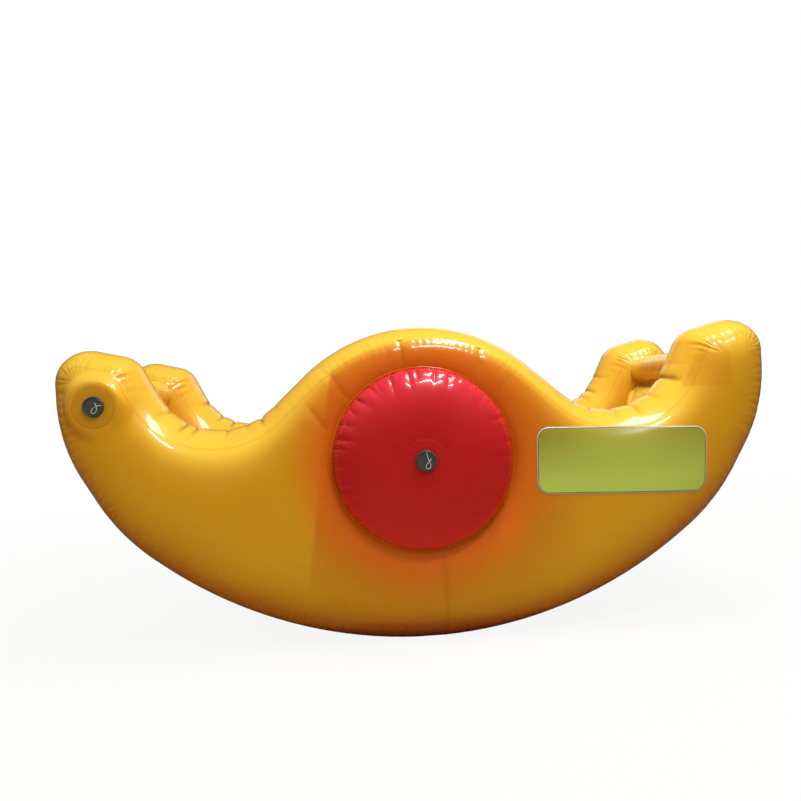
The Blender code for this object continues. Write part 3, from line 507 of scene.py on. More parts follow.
def painted_light_through_sheet(tree, coords, edge, colour):
    """A float's colour with painted light and shade for what shows through its sheet: the painted shade of the
    drum with its straight edge, the oblong painted shade of a backrest, a foot painted redder in the drum's shade,
    and painted orange light close round the drum."""
    apart = add(tree, "ShaderNodeSeparateXYZ", {0: coords})
    x, y, z = apart.outputs
    flatly = add(tree, "ShaderNodeCombineXYZ", {0: x, 1: z, 2: 0.0}).outputs[0]
    reach = add(tree, "ShaderNodeVectorMath", {0: flatly, 1: (0, drum_height, 0)}, operation="DISTANCE")
    from_drum = reach.outputs["Value"]
    # The drum's painted shade stops at a slanting line at the left and fades away from the drum.
    on_face = add(tree, "ShaderNodeMapRange", {0: edge, 1: 1.0, 2: 0.3}).outputs[0]
    side = add(tree, "ShaderNodeMath", {0: z, 1: -0.15, 2: x}, operation="MULTIPLY_ADD").outputs[0]
    shade = add(tree, "ShaderNodeMapRange", {0: side, 1: -0.429, 2: -0.419}).outputs[0]
    fading = add(tree, "ShaderNodeMapRange", {0: from_drum, 1: 0.64, 2: 0.36, 4: 0.8}, **smoothly).outputs[0]
    shade = add(tree, "ShaderNodeMath", {0: shade, 1: fading}, operation="MULTIPLY").outputs[0]
    shade = add(tree, "ShaderNodeMath", {0: shade, 1: on_face}, operation="MULTIPLY").outputs[0]
    # The backrest's painted shade is an oblong on the outer face of the front float's right horn.
    painted_backrest_shade = 1.0
    for along, middle, half in ((x, 0.965, 0.075), (z, 0.85, 0.055), (y, -0.6, 0.095)):
        within = add(tree, "ShaderNodeMath", {0: along, 1: middle, 2: half}, operation="COMPARE").outputs[0]
        painted_backrest_shade = add(tree, "ShaderNodeMath", {0: painted_backrest_shade, 1: within}, operation="MULTIPLY").outputs[0]
    shade = add(tree, "ShaderNodeMath", {0: painted_backrest_shade, 1: 0.28, 2: shade}, operation="MULTIPLY_ADD").outputs[0]
    colour = add(tree, "ShaderNodeMix", {0: shade, 6: colour, 7: linear("#c97406")}, **as_colour).outputs[2]
    # The foot of each float is painted redder below the drum as shade with red light from the drum, and painted
    # orange light lies round the drum.
    low = add(tree, "ShaderNodeMapRange", {0: z, 1: 0.10, 2: 0.035, 4: 0.85}, **smoothly).outputs[0]
    from_middle = add(tree, "ShaderNodeMath", {0: x}, operation="ABSOLUTE").outputs[0]
    midway = add(tree, "ShaderNodeMapRange", {0: from_middle, 1: 0.62, 2: 0.30}).outputs[0]
    foot = add(tree, "ShaderNodeMath", {0: low, 1: midway}, operation="MULTIPLY").outputs[0]
    colour = add(tree, "ShaderNodeMix", {0: foot, 6: colour, 7: linear("#b04510")}, **as_colour).outputs[2]
    close = add(tree, "ShaderNodeMapRange", {0: from_drum, 1: 0.48, 2: 0.31, 4: 0.9}, **smoothly).outputs[0]
    glow = add(tree, "ShaderNodeMath", {0: close, 1: on_face}, operation="MULTIPLY").outputs[0]
    return add(tree, "ShaderNodeMix", {0: glow, 6: colour, 7: linear("#e26503")}, **as_colour).outputs[2]


def tarpaulin(name, lit, side, deep, roughness, paints_drum_light=False):
    """PVC-coated tarpaulin, rolled smooth and glossy, and a little translucent. Light and shade are painted into
    its
    colour by the way it faces: the lit colour where it faces up, and the deep one where it faces away from the
    sky.
    A weld shows as a fine line where the doubled sheet ends, and painted shade darkens its folds."""
    made, tree, shader = new_finish(name)
    shader.inputs["IOR"].default_value = 1.53
    shader.inputs["Specular IOR Level"].default_value = 0.22
    shader.inputs["Coat Weight"].default_value = 0.6
    shader.inputs["Coat Roughness"].default_value = 0.06
    spot = add(tree, "ShaderNodeTexCoord")
    coords = spot.outputs["Object"]
    facing = add(tree, "ShaderNodeSeparateXYZ", {0: spot.outputs["Normal"]}).outputs[2]
    cloud = add(tree, "ShaderNodeTexNoise", {"Vector": coords, "Scale": 2.4, "Detail": 3.0}).outputs[0]
    # Painted light and shade: the lit colour where the sheet faces up, and the deep one where it faces down.
    lean = add(tree, "ShaderNodeMath", {0: cloud, 1: 0.5, 2: facing}, operation="MULTIPLY_ADD").outputs[0]
    painted_top_light = add(tree, "ShaderNodeMapRange", {0: lean, 1: 0.28, 2: 0.85}, **smoothly).outputs[0]
    painted_underside = add(tree, "ShaderNodeMapRange", {0: lean, 1: 0.28, 2: -0.45}, **smoothly).outputs[0]
    colour = add(tree, "ShaderNodeMix", {0: painted_top_light, 6: linear(side), 7: linear(lit)}, **as_colour).outputs[2]
    colour = add(tree, "ShaderNodeMix", {0: painted_underside, 6: colour, 7: linear(deep)}, **as_colour).outputs[2]
    edge = add(tree, "ShaderNodeAttribute", attribute_name="edge").outputs["Fac"]
    if paints_drum_light:
        colour = painted_light_through_sheet(tree, coords, edge, colour)
    past = add(tree, "ShaderNodeMath", {0: edge, 1: 0.72}, operation="SUBTRACT").outputs[0]
    near = add(tree, "ShaderNodeMath", {0: past}, operation="ABSOLUTE").outputs[0]
    line = add(tree, "ShaderNodeMapRange", {0: near, 1: 0.035, 2: 0.0, 4: 0.5}).outputs[0]
    colour = add(tree, "ShaderNodeMix", {0: line, 6: colour, 7: linear(deep)}, **as_colour).outputs[2]
    # Painted shade in the creases: the fold attribute darkens the colour there.
    fold = add(tree, "ShaderNodeAttribute", attribute_name="fold").outputs["Fac"]
    crease_shade_colour = tuple(0.3 * c for c in linear(deep)[:3]) + (1,)
    colour = add(tree, "ShaderNodeMix", {0: fold, 6: colour, 7: crease_shade_colour}, **as_colour).outputs[2]
    tree.links.new(colour, shader.inputs["Base Color"])
    smeared = {"Vector": coords, "Scale": 14.0, "Detail": 5.0, "Roughness": 0.6}
    smear = add(tree, "ShaderNodeTexNoise", smeared).outputs[0]
    dullest, glossiest = roughness * 1.25, roughness * 0.8
    rough = add(tree, "ShaderNodeMapRange", {0: smear, 1: 0.3, 2: 0.7, 3: glossiest, 4: dullest})
    tree.links.new(rough.outputs[0], shader.inputs["Roughness"])
    step = add(tree, "ShaderNodeMapRange", {0: edge, 1: 0.70, 2: 0.74}).outputs[0]
    ripple = add(tree, "ShaderNodeTexNoise", {"Vector": coords, "Scale": 45.0, "Detail": 2.0}).outputs[0]
    grain = add(tree, "ShaderNodeMath", {0: ripple, 1: 0.04, 2: step}, operation="MULTIPLY_ADD").outputs[0]
    relief = add(tree, "ShaderNodeBump", {"Height": grain, "Strength": 0.3, "Distance": 0.0012})
    tree.links.new(relief.outputs[0], shader.inputs["Normal"])
    return made


# The three colours are painted light and shade by the way the sheet faces: lit on top, side, and deep below.
yellow_float = tarpaulin("glossy_yellow_tarpaulin", "#fbc63a", "#d8980c", "#cb7405", 0.27, True)
yellow_plain = tarpaulin("glossy_yellow_tarpaulin_pads", "#ffd052", "#eeb02e", "#dc9318", 0.27)


def finished(name, data, finish, body, slot, *nodes):
    """A shown piece with its finish, which rides on a body and stands for the CAD nodes."""
    piece = bpy.data.objects.new(name, data)
    scene.collection.objects.link(piece)
    data.materials.clear()
    data.materials.append(finish)
    if piece.type == "MESH":
        data.shade_smooth()
    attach(piece, body)
    if nodes:
        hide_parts(*nodes)
    return piece


panels = ("outer_face_panel", "inner_face_panel", "top_edge_strip", "bottom_edge_strip")
skins = {}
for end, seed, side in (("front", 11, -1), ("rear", 29, 1)):
    skin = float_shell(f"{end}_float_skin")
    slackened(skin, seed)
    place = Matrix.Translation((0, side * float_middle + shift, 0))
    if side > 0:
        place = place @ Matrix.Rotation(math.pi, 4, "Z")
    skin.transform(place)
    skins[end] = skin
    for number, panel in enumerate(panels):
        bm = bmesh.new()
        bm.from_mesh(skin)
        bmesh.ops.delete(bm, geom=[f for f in bm.faces if f.material_index != number], context="FACES")
        for face in bm.faces:
            face.material_index = 0
        data = bpy.data.meshes.new(f"{end}_{panel}_sheet")
        bm.to_mesh(data)
        bm.free()
        node = f"{end}_float_{panel}"
        finished(f"{node}_sheet", data, yellow_float, "seesaw", "yellow_pvc_tarpaulin", node)


# Drum sleeves. A short tube of yellow sheet lines each float's hole, and its ends turn out over both faces as
# narrow collars that are welded down. A collar shows as a fine ring round the drum, wider on one side.
def spun(profile, sides, closed, axis=(0, 1, 0)):
    """A bmesh turned round an axis through the origin from (radius, height along the axis) points."""
    bm = bmesh.new()
    points = [bm.verts.new((r, h, 0) if axis[1] else (r, 0, h)) for r, h in profile]
    edges = [bm.edges.new(pair) for pair in zip(points, points[1:])]
    if closed:
        edges.append(bm.edges.new((points[-1], points[0])))
    turned = {"cent": (0, 0, 0), "axis": axis, "angle": math.tau, "steps": sides, "use_merge": True}
    bmesh.ops.spin(bm, geom=points + edges, **turned)
    bmesh.ops.remove_doubles(bm, verts=bm.verts, dist=1e-6)
    return bm


tarpaulin_sheet, collar_width, collar_proud, collar_extra, wide_side = 0.001, 0.008, 0.0005, 0.012, 2.9
collar = np.linspace(0, collar_width, 5)
collar_rise = np.array([rise[np.abs(off_drum - out) < 0.002].mean() for out in collar])
for end, side in (("front", -1), ("rear", 1)):
    outer = []
    for face in (-1, 1):
        flange = [(face_hole - 0.0005 + out, face * (strip_half + h + collar_proud))
                  for out, h in zip(collar, collar_rise)]
        outer += flange[::-face]
    wall = []
    for i, (r, y) in enumerate(outer):
        thin = 0.25 if i in (0, len(outer) - 1) else 1
        wall.append((r - tarpaulin_sheet * thin, y + math.copysign(tarpaulin_sheet, y)))
    bm = spun(outer + wall[::-1], 180, True)
    for vert in bm.verts:
        out = math.hypot(vert.co.x, vert.co.z) - face_hole
        if out > 0.002:
            turn = math.atan2(vert.co.z, vert.co.x)
            wide = 1 + collar_extra * max(0, math.cos(turn - wide_side)) * out / collar_width
            vert.co.x, vert.co.z = vert.co.x * wide, vert.co.z * wide
    data = kept(f"{end}_sleeve_sheet", bm, Matrix.Translation((0, side * float_middle + shift, drum_height)))
    node = f"{end}_float_drum_sleeve"
    finished(f"{node}_sheet", data, yellow_float, "seesaw", "yellow_pvc_tarpaulin", node)


# Centre drum. A tube of red tarpaulin with a disc welded into each end, which the air rounds out. The weld
# gathers the disc into deep tucks at the upper left, where it is slack, and into fine short ones elsewhere.
# Its deep colour, where the drum faces down, is lighter and more orange: painted light from the floor below.
red_sheet = tarpaulin("glossy_red_tarpaulin", "#e2303b", "#c01613", "#ea2f1c", 0.24)
drum_half, drum_bulge, drum_flat = 0.56, 0.08, 0.08
slackest = 2.35  # the upper left, as an angle from the right


def from_disc_rim(spots):
    """How far in from its rim each point of a disc lies."""
    return drum_radius - np.hypot(spots[:, 0], spots[:, 2])


def from_wrap_end(spots):
    """How far in from the nearer end each point of the wrap lies."""
    return drum_half - np.abs(spots[:, 1])


def tucked(data, from_weld_of, deep, seed, spacing, reach):
    """Sinks a turned sheet's gathers at its weld, and writes how near each point is to it and its tucks' painted
    shade.
    """
    spots, normals = points_of(data)
    turn = np.arctan2(spots[:, 2], spots[:, 0])
    away = np.maximum(from_weld_of(spots), 0)
    way, run = (turn + math.pi) * drum_radius, math.tau * drum_radius
    slack = 0.28 + 0.85 * np.clip(np.cos(turn - slackest), 0, 1) ** 1.5
    tuck = creases(way, away, run, spacing, reach, seed, lean=0.25, narrow=0.006, flare=0.15)
    swell = 0.30 * np.exp(-((away / reach) ** 1.7))
    sink = deep * slack * (tuck - swell) * (1 - 0.4 * np.exp(-away / 0.004))
    fine = creases(way, away, run, 0.012, 0.014, seed + 1, lean=0.25, narrow=0.003, flare=0.15)
    fine = (fine - 0.3) * np.exp(-((away / 0.02) ** 2))
    sink += 0.0036 * fine
    # Painted shade in the tucks and fine creases.
    painted_fold_shade = 1.4 * slack * np.clip(tuck - 0.3, 0, 1) + 0.7 * np.clip(fine, 0, 1)
    moved(data, spots - normals * sink[:, None], edge=1 - away / edge_band, fold=painted_fold_shade)


def drum_end_height(r):
    """How far the end disc stands proud of its weld at this radius."""
    share = np.clip((r - drum_flat) / (drum_radius - drum_flat), 0, 1)
    return drum_bulge * np.sqrt(1 - share**2.2)


neck, disc_gap = 0.0236, 0.0013
disc_radii = np.linspace(0, 1, 44) * (0.248 - neck) + neck
disc_radii = np.concatenate((disc_radii, drum_radius - 0.043 * np.linspace(1, 0, 30) ** 1.6))
for end, side, valved in (("front", -1, True), ("rear", 1, False)):
    radii = disc_radii if valved else np.concatenate(([0.0, 0.008, 0.016], disc_radii))
    bm = spun([(r, -h) for r, h in zip(radii, drum_end_height(radii))], 540, False)
    data = kept(f"drum_{end}_disc", bm)
    if sum(p.normal.y for p in data.polygons) > 0:
        data.flip_normals()
    tucked(data, from_disc_rim, deep=0.0090, seed=41, spacing=0.046, reach=0.036)
    place = Matrix.Translation((0, side * (drum_half + disc_gap) + shift, drum_height))
    data.transform(place if side < 0 else place @ Matrix.Rotation(math.pi, 4, "Z"))
    finished(f"drum_{end}_end_sheet", data, red_sheet, "seesaw", "red_pvc_tarpaulin", f"drum_{end}_end")

wrap_run = drum_half - 0.06 * np.linspace(0, 1, 24) ** 1.5
wrap_rows = np.concatenate((-wrap_run, np.linspace(-0.5, 0.5, 41), wrap_run[::-1]))
from_end = drum_half - np.abs(wrap_rows)
wrap_radii = drum_radius - 0.003 * np.exp(-((from_end / 0.004) ** 1.5))
wrap_radii += 0.0035 * np.exp(-(((from_end - 0.012) / 0.006) ** 2))
data = kept("drum_wrap_tube", spun(list(zip(wrap_radii, wrap_rows)), 360, False))
tucked(data, from_wrap_end, deep=0.0040, seed=47, spacing=0.034, reach=0.045)
data.transform(Matrix.Translation((0, shift, drum_height)))
finished("drum_wrap_sheet", data, red_sheet, "seesaw", "red_pvc_tarpaulin", "drum_wrap")


# Valves. Each has a round reinforcing patch on the sheet and a moulded black housing with a plunger on a
# spring, under a screw cap with a sunk face and a ribbed rim. Polyethylene is dark, waxy and a little worn.
# The spring stands on the housing's floor.
def moulded(name, colour, roughness, scale, uneven, metallic=0.0):
    """A plain moulded or drawn finish. Its gloss and surface vary a little, at that scale in waves a metre."""
    made, tree, shader = new_finish(name)
    shader.inputs["Metallic"].default_value = metallic
    coords = add(tree, "ShaderNodeTexCoord").outputs["Object"]
    cloud = add(tree, "ShaderNodeTexNoise", {"Vector": coords, "Scale": scale, "Detail": 4.0}).outputs[0]
    tone = add(tree, "ShaderNodeMapRange", {0: cloud, 1: 0.3, 2: 0.7}).outputs[0]
    dull = tuple(0.72 * c for c in linear(colour)[:3]) + (1,)
    body = add(tree, "ShaderNodeMix", {0: tone, 6: linear(colour), 7: dull}, **as_colour)
    tree.links.new(body.outputs[2], shader.inputs["Base Color"])
    glossiest, dullest = roughness - 0.06, roughness + 0.06
    rough = add(tree, "ShaderNodeMapRange", {0: cloud, 1: 0.3, 2: 0.7, 3: glossiest, 4: dullest})
    tree.links.new(rough.outputs[0], shader.inputs["Roughness"])
    relief = add(tree, "ShaderNodeBump", {"Height": cloud, "Strength": uneven, "Distance": 0.0005})
    tree.links.new(relief.outputs[0], shader.inputs["Normal"])
    return made


polyethylene = moulded("black_polyethylene", "#4b4f45", 0.42, 160.0, 0.2)
rubber = moulded("black_rubber", "#2c2c2b", 0.65, 400.0, 0.3)
spring_wire = moulded("spring_steel_wire", "#b9b9b4", 0.28, 900.0, 0.05, 1.0)
cord_yarn = moulded("white_braided_polyester", "#e4e2d8", 0.8, 1500.0, 0.6)
# The patches' colours are painted light and shade by the way they face, as on the sheets they lie on.
patch_yellow = tarpaulin("yellow_patch_tarpaulin", "#f0b52a", "#c98b0a", "#b8750a", 0.33)
patch_red = tarpaulin("red_patch_tarpaulin", "#de2f39", "#bd1612", "#e62e1b", 0.26)
cap_radius, cap_under, cap_top, cap_recess, cap_rim, plug = 0.032, 0.0047, 0.0122, 0.0025, 0.004, 0.0189
cap_face, rim_inside, plug_end = cap_top - cap_recess, cap_radius - cap_rim, cap_under - 0.006
plug_wall, ribs, rib_depth = 0.003, 36, 0.022
cap = [(0, cap_face), (rim_inside - 0.0006, cap_face), (rim_inside, cap_top - 0.0008)]
cap += [(rim_inside + 0.0006, cap_top), (cap_radius - 0.0013, cap_top)]
cap += [(cap_radius - 0.0004, cap_top - 0.0005), (cap_radius, cap_top - 0.0015)]
cap += [(cap_radius, cap_under + 0.0006), (cap_radius - 0.0006, cap_under)]
cap += [(plug, cap_under), (plug, plug_end), (plug - plug_wall, plug_end), (plug - plug_wall, cap_under)]
cap += [(0, cap_under)]
patch_low, patch_high = 0.0002, 0.0009
patch = [(0.0233, patch_low), (0.0233, patch_high), (0.0640, patch_high)]
patch += [(0.0680, 0.0006), (0.069, 0.0003), (0.069, patch_low)]
to_front = Matrix.Rotation(math.pi / 2, 4, "X")
to_rear = Matrix.Rotation(math.pi, 4, "Z") @ to_front
horn_out, drum_out = float_middle + strip_half + valve_rise, drum_half + drum_bulge + disc_gap
valve_places = {
    "front_horn_valve": Matrix.Translation((valve_spot[0], shift - horn_out, valve_spot[1])) @ to_front,
    "rear_horn_valve": Matrix.Translation((-valve_spot[0], shift + horn_out, valve_spot[1])) @ to_rear,
    "drum_valve": Matrix.Translation((0, shift - drum_out, drum_height)) @ to_front,
}
for valve, place in valve_places.items():
    bm = spun(cap, 144, False, (0, 0, 1))
    for vert in bm.verts:
        out = math.hypot(vert.co.x, vert.co.y)
        if out > cap_radius - 0.0003:
            rib = 1 - rib_depth * max(0, math.cos(ribs * math.atan2(vert.co.y, vert.co.x))) ** 2
            vert.co.x, vert.co.y = vert.co.x * rib, vert.co.y * rib
    data = kept(f"{valve}_ribbed_cap", bm, place)
    cap_body = f"{valve}_screw_cap"
    finished(f"{valve}_ribbed_cap", data, polyethylene, cap_body, "black_polyethylene", f"{valve}_cap")
    data.set_sharp_from_angle(angle=math.radians(40))
    sheet, slot = patch_yellow, "yellow_pvc_tarpaulin"
    if valve == "drum_valve":
        sheet, slot = patch_red, "red_pvc_tarpaulin"
    data = kept(f"{valve}_round_patch", spun(patch, 128, True, (0, 0, 1)), place)
    finished(f"{valve}_round_patch", data, sheet, "seesaw", slot, f"{valve}_patch")
    data.set_sharp_from_angle(angle=math.radians(50))
    for node, finish in (("body", polyethylene), ("plunger", polyethylene), ("o_ring", rubber)):
        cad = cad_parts[f"{valve}_{node}"]
        cad.data.materials.clear()
        cad.data.materials.append(finish)
    node = f"{valve}_spring"
    bm = bmesh.new()
    bm.from_mesh(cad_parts[node].data)
    bmesh.ops.remove_doubles(bm, verts=bm.verts, dist=1e-6)
    low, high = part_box(node)
    coil = finished(f"{node}_coil", kept(f"{node}_coil", bm), spring_wire, "seesaw", "spring_steel", node)
    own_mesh(coil)


# Pull loops. A thin white cord is held in each cap's rim and hangs over its face in a loop that crosses
# itself. The points are in millimetres to the right and up, and a third number gives their lift off the face
# as a share of cord_lift.
horn_loop = [(27.2, 3, 0), (20, 3, 0), (14.5, 2.4, 0), (10, 0.2, 0), (4, -3.5, 0), (-1, -8.5, 0)]
horn_loop += [(-4, -14, 0), (-2, -19, 0), (3, -21, 0), (8.5, -18, 0), (12, -12, 0), (13.5, -5, 0.3)]
horn_loop += [(13.3, 1, 1), (11.5, 6.5, 0.8), (8, 11.5, 0)]
drum_loop = [(2, 27.2, 0), (3, 20, 0), (5.5, 10, 0), (8.5, 1, 0), (10, -5, 0), (12.5, -11, 0), (13.5, -17, 0)]
drum_loop += [(10.5, -22.5, 0), (4.5, -24.5, 0), (-1, -22, 0), (-2, -16, 0), (2, -9.5, 0.2), (7.5, -3.5, 1)]
drum_loop += [(12.5, 1.5, 0.9), (15, 7.5, 0)]
cord_diameter, cord_rest, cord_lift = 0.002, 0.0110, 0.0024
for valve, place in valve_places.items():
    route, length = (drum_loop, 0.101) if valve == "drum_valve" else (horn_loop, 0.088)
    line = [Vector((x / 1000, y / 1000, cord_rest + cord_lift * lift)) for x, y, lift in route]
    data = bpy.data.curves.new(f"{valve}_cord", "CURVE")
    data.dimensions = "3D"
    data.bevel_depth = cord_diameter / 2
    data.bevel_resolution = 3
    data.use_fill_caps = True
    data.resolution_u = 8
    spline = data.splines.new("BEZIER")
    spline.bezier_points.add(len(line) - 1)
    for i, (point, here) in enumerate(zip(spline.bezier_points, line)):
        before, after = line[max(i - 1, 0)], line[min(i + 1, len(line) - 1)]
        point.co = place @ here
        point.handle_left_type = point.handle_right_type = "FREE"
        point.handle_left = place @ (here - (after - before) / 6)
        point.handle_right = place @ (here + (after - before) / 6)
    name = f"{valve}_pull_loop"
    piece = finished(f"{name}_cord", data, cord_yarn, f"{valve}_screw_cap", "white_polyester_cord", name)


# Seats. Between the floats at each end there is a seat, and a backrest with a bolster on top, all of the
# floats' yellow tarpaulin. Their ends press against the floats, and their long edges are welded and gathered.
def mirrored_over(data, name):
    """The same mesh on the other side of X = 0."""
    other = data.copy()
    other.name = name
    other.transform(Matrix.Diagonal((-1, 1, 1, 1)))
    other.flip_normals()
    return other


bolster_middle, bolster_radius, bolster_reach = (1.055, 0.875), 0.06, 0.269
pad_creases = {"lean": 0.2, "narrow": 0.004}
end_rows = 0.05 * np.linspace(0, 1, 18) ** 1.4 - bolster_reach
rows = np.concatenate((end_rows, np.linspace(-0.21, 0.21, 34), -end_rows[::-1]))
drawn_in = 0.004 * np.exp(-(((bolster_reach - np.abs(rows)) / 0.016) ** 1.3))
profile = [(0.0, rows[0])] + list(zip(bolster_radius - drawn_in, rows)) + [(0.0, rows[-1])]
data = kept("right_bolster_tube", spun(profile, 160, False))
spots, normals = points_of(data)
around = (np.arctan2(spots[:, 2], spots[:, 0]) + math.pi) * bolster_radius
away = bolster_reach - np.abs(spots[:, 1])
pucker = np.zeros(len(spots))
for side in (-1, 1):
    here = np.sign(spots[:, 1]) == side
    tuck = creases(around, away, math.tau * bolster_radius, 0.024, 0.042, 60 + side, **pad_creases, flare=0.1)
    pucker = np.where(here, 0.0028 * tuck, pucker)
pucker *= np.hypot(spots[:, 0], spots[:, 2]) > 0.03
moved(data, spots - normals * pucker[:, None], edge=1 - away / edge_band)
data.transform(Matrix.Translation((bolster_middle[0], shift, bolster_middle[1])))
for end, mesh in (("right", data), ("left", mirrored_over(data, "left_bolster_tube"))):
    node = f"{end}_bolster"
    piece = finished(f"{node}_sheet", mesh, yellow_plain, "seesaw", "yellow_pvc_tarpaulin", node)

pad_voxel, pad_shrink, pad_pressure, most_swell, weld_half, cloth_frames = 0.009, 0.004, 4.0, 0.014, 0.010, 20


def final_mesh(thing):
    """A copy of an object's mesh with its modifiers applied."""
    graph = bpy.context.evaluated_depsgraph_get()
    return bpy.data.meshes.new_from_object(thing.evaluated_get(graph), depsgraph=graph)


def blown_pad(node, low, high, seed):
    """A pad's CAD solid drawn in a little, given a fine skin, blown up as cloth and gathered at its two welds.
    These run across it at the (x, z) places low and high."""
    bm = bmesh.new()
    bm.from_mesh(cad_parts[node].data)
    bmesh.ops.remove_doubles(bm, verts=bm.verts, dist=1e-5)
    bmesh.ops.recalc_face_normals(bm, faces=bm.faces)
    bm.normal_update()
    for vert in bm.verts:
        vert.co -= vert.normal * pad_shrink
    pad = bpy.data.objects.new(f"{node}_blown", kept(f"{node}_blown", bm))
    scene.collection.objects.link(pad)
    skin = pad.modifiers.new("skin", "REMESH")
    skin.mode = "VOXEL"
    skin.voxel_size = pad_voxel
    evenly = pad.modifiers.new("evenly", "SMOOTH")
    evenly.factor, evenly.iterations = 0.5, 6
    fine = final_mesh(pad)
    pad.modifiers.clear()
    pad.data = fine
    start, _ = points_of(fine)
    low, high = np.array(low), np.array(high)
    run = high - low

    def from_seam(spots):
        along = (spots[:, [0, 2]] - low) @ run / (run @ run)
        return np.minimum(along, 1 - along) * np.linalg.norm(run)

    welds = pad.vertex_groups.new(name="welds")
    welds.add([int(i) for i in np.where(from_seam(start) < weld_half)[0]], 1.0, "REPLACE")
    air = pad.modifiers.new("air", "CLOTH")
    air.settings.quality = 5
    air.settings.mass = 0.3
    air.settings.use_pressure = True
    air.settings.uniform_pressure_force = pad_pressure
    air.settings.tension_stiffness = air.settings.compression_stiffness = 12
    air.settings.bending_stiffness = 0.4
    air.settings.vertex_group_mass = "welds"
    air.settings.effector_weights.gravity = 0
    air.point_cache.frame_start, air.point_cache.frame_end = 1, cloth_frames
    for number in range(1, cloth_frames + 1):
        scene.frame_set(number)
    blown_up = final_mesh(pad)
    scene.frame_set(1)
    pad.modifiers.clear()
    swell = points_of(blown_up)[0] - start
    far = np.linalg.norm(swell, axis=1)
    swell *= (np.minimum(far, most_swell) / np.maximum(far, 1e-9))[:, None]
    moved(fine, start + swell)
    bpy.data.meshes.remove(blown_up)
    finer = pad.modifiers.new("finer", "SUBSURF")
    finer.levels = finer.render_levels = 1
    data = final_mesh(pad)
    bpy.data.objects.remove(pad)
    spots, normals = points_of(data)
    seam = np.maximum(from_seam(spots), 0)
    tuck = creases(spots[:, 1] + 0.4, seam, 0.8, 0.030, 0.045, seed, **pad_creases, flare=0.16)
    sink = 0.0045 * (tuck - 0.3 * np.exp(-((seam / 0.045) ** 1.7)))
    moved(data, spots - normals * sink[:, None], edge=1 - seam / edge_band)
    return data


pads = (("backrest", (0.93, 0.45), (1.02, 0.815), 71), ("seat", (0.47, 0.27), (0.86, 0.37), 83))
for pad_name, low, high, seed in pads:
    data = blown_pad(f"right_{pad_name}", low, high, seed)
    data.name = f"right_{pad_name}_cover"
    for end, mesh in (("right", data), ("left", mirrored_over(data, f"left_{pad_name}_cover"))):
        node = f"{end}_{pad_name}"
        piece = finished(f"{node}_sheet", mesh, yellow_plain, "seesaw", "yellow_pvc_tarpaulin", node)


# Label. A rectangle of thin vinyl with rounded corners, welded on to the front float beside the drum and
# shaped to it. Its ground is green, olive at the top, with a dark line and a silver grey border.
label_middle, label_size, label_tilt, label_corner = (0.652, 0.566), (0.567, 0.219), math.radians(-2.6), 0.04
label_film, label_rim = 0.0009, 0.02
corners = [(-1, -1), (1, -1), (1, 1), (-1, 1)]
corners = [(x * label_size[0] / 2, z * label_size[1] / 2, label_corner) for x, z in corners]
outline, outline_out = rounded_line(corners, 0.004)


def from_outline(points):
    """How far each (x, z) point lies inside the label's outline."""
    gap = points[:, None] - outline
    far = np.linalg.norm(gap, axis=2)
    nearest = far.argmin(axis=1)
    rows = np.arange(len(points))
    return far[rows, nearest] * np.where((gap[rows, nearest] * outline_out[nearest]).sum(axis=1) < 0, 1, -1)


lengthwise, upwards = np.arange(-0.276, 0.277, 0.006), np.arange(-0.102, 0.103, 0.006)
grid = np.stack(np.meshgrid(lengthwise, upwards), axis=-1).reshape(-1, 2)
flat_label, label_triangles = filled([outline], grid[from_outline(grid) > 0.003], 0.0)
from_rim = np.abs(from_outline(flat_label))
skin = skins["front"]
tree_of_skin = BVHTree.FromPolygons([v.co for v in skin.vertices], [tuple(p.vertices) for p in skin.polygons])
cos_tilt, sin_tilt = math.cos(label_tilt), math.sin(label_tilt)
bm = bmesh.new()
rim_of = bm.verts.layers.float.new("rim")
placed = []
for (x, z), gap in zip(flat_label, from_rim):
    across = label_middle[0] + x * cos_tilt - z * sin_tilt
    up = label_middle[1] + x * sin_tilt + z * cos_tilt
    hit = tree_of_skin.ray_cast(Vector((across, -1, up)), Vector((0, 1, 0)))[0]
    vert = bm.verts.new((across, hit.y - label_film, up))
    vert[rim_of] = max(0, 1 - gap / label_rim)
    placed.append(vert)
for triangle in label_triangles:
    bm.faces.new([placed[i] for i in triangle])
bmesh.ops.recalc_face_normals(bm, faces=bm.faces)
if sum(f.normal.y for f in bm.faces) > 0:
    bmesh.ops.reverse_faces(bm, faces=bm.faces)
data = bpy.data.meshes.new("front_label_vinyl")
bm.to_mesh(data)
bm.free()
vinyl, tree, shader = new_finish("printed_vinyl")
shader.inputs["Roughness"].default_value = 0.3
shader.inputs["IOR"].default_value = 1.53
apart = add(tree, "ShaderNodeSeparateXYZ", {0: add(tree, "ShaderNodeTexCoord").outputs["Object"]})
down = add(tree, "ShaderNodeMapRange", {0: apart.outputs[2], 1: 0.655, 2: 0.50}).outputs[0]
olive, green = linear("#9f962a"), linear("#bccb50")
ground = add(tree, "ShaderNodeMix", {0: down, 6: olive, 7: green}, **as_colour).outputs[2]
rim_share = add(tree, "ShaderNodeAttribute", attribute_name="rim").outputs["Fac"]
for begins, ends, colour in ((0.70, 0.72, "#4c4a2c"), (0.80, 0.82, "#c9c3ae")):
    band = add(tree, "ShaderNodeMapRange", {0: rim_share, 1: begins, 2: ends}).outputs[0]
    ground = add(tree, "ShaderNodeMix", {0: band, 6: ground, 7: linear(colour)}, **as_colour).outputs[2]
tree.links.new(ground, shader.inputs["Base Color"])
label_piece = finished("front_label_vinyl", data, vinyl, "seesaw", "printed_vinyl_label", "front_label")
film = label_piece.modifiers.new("film", "SOLIDIFY")
film.thickness, film.offset = 0.0005, 1


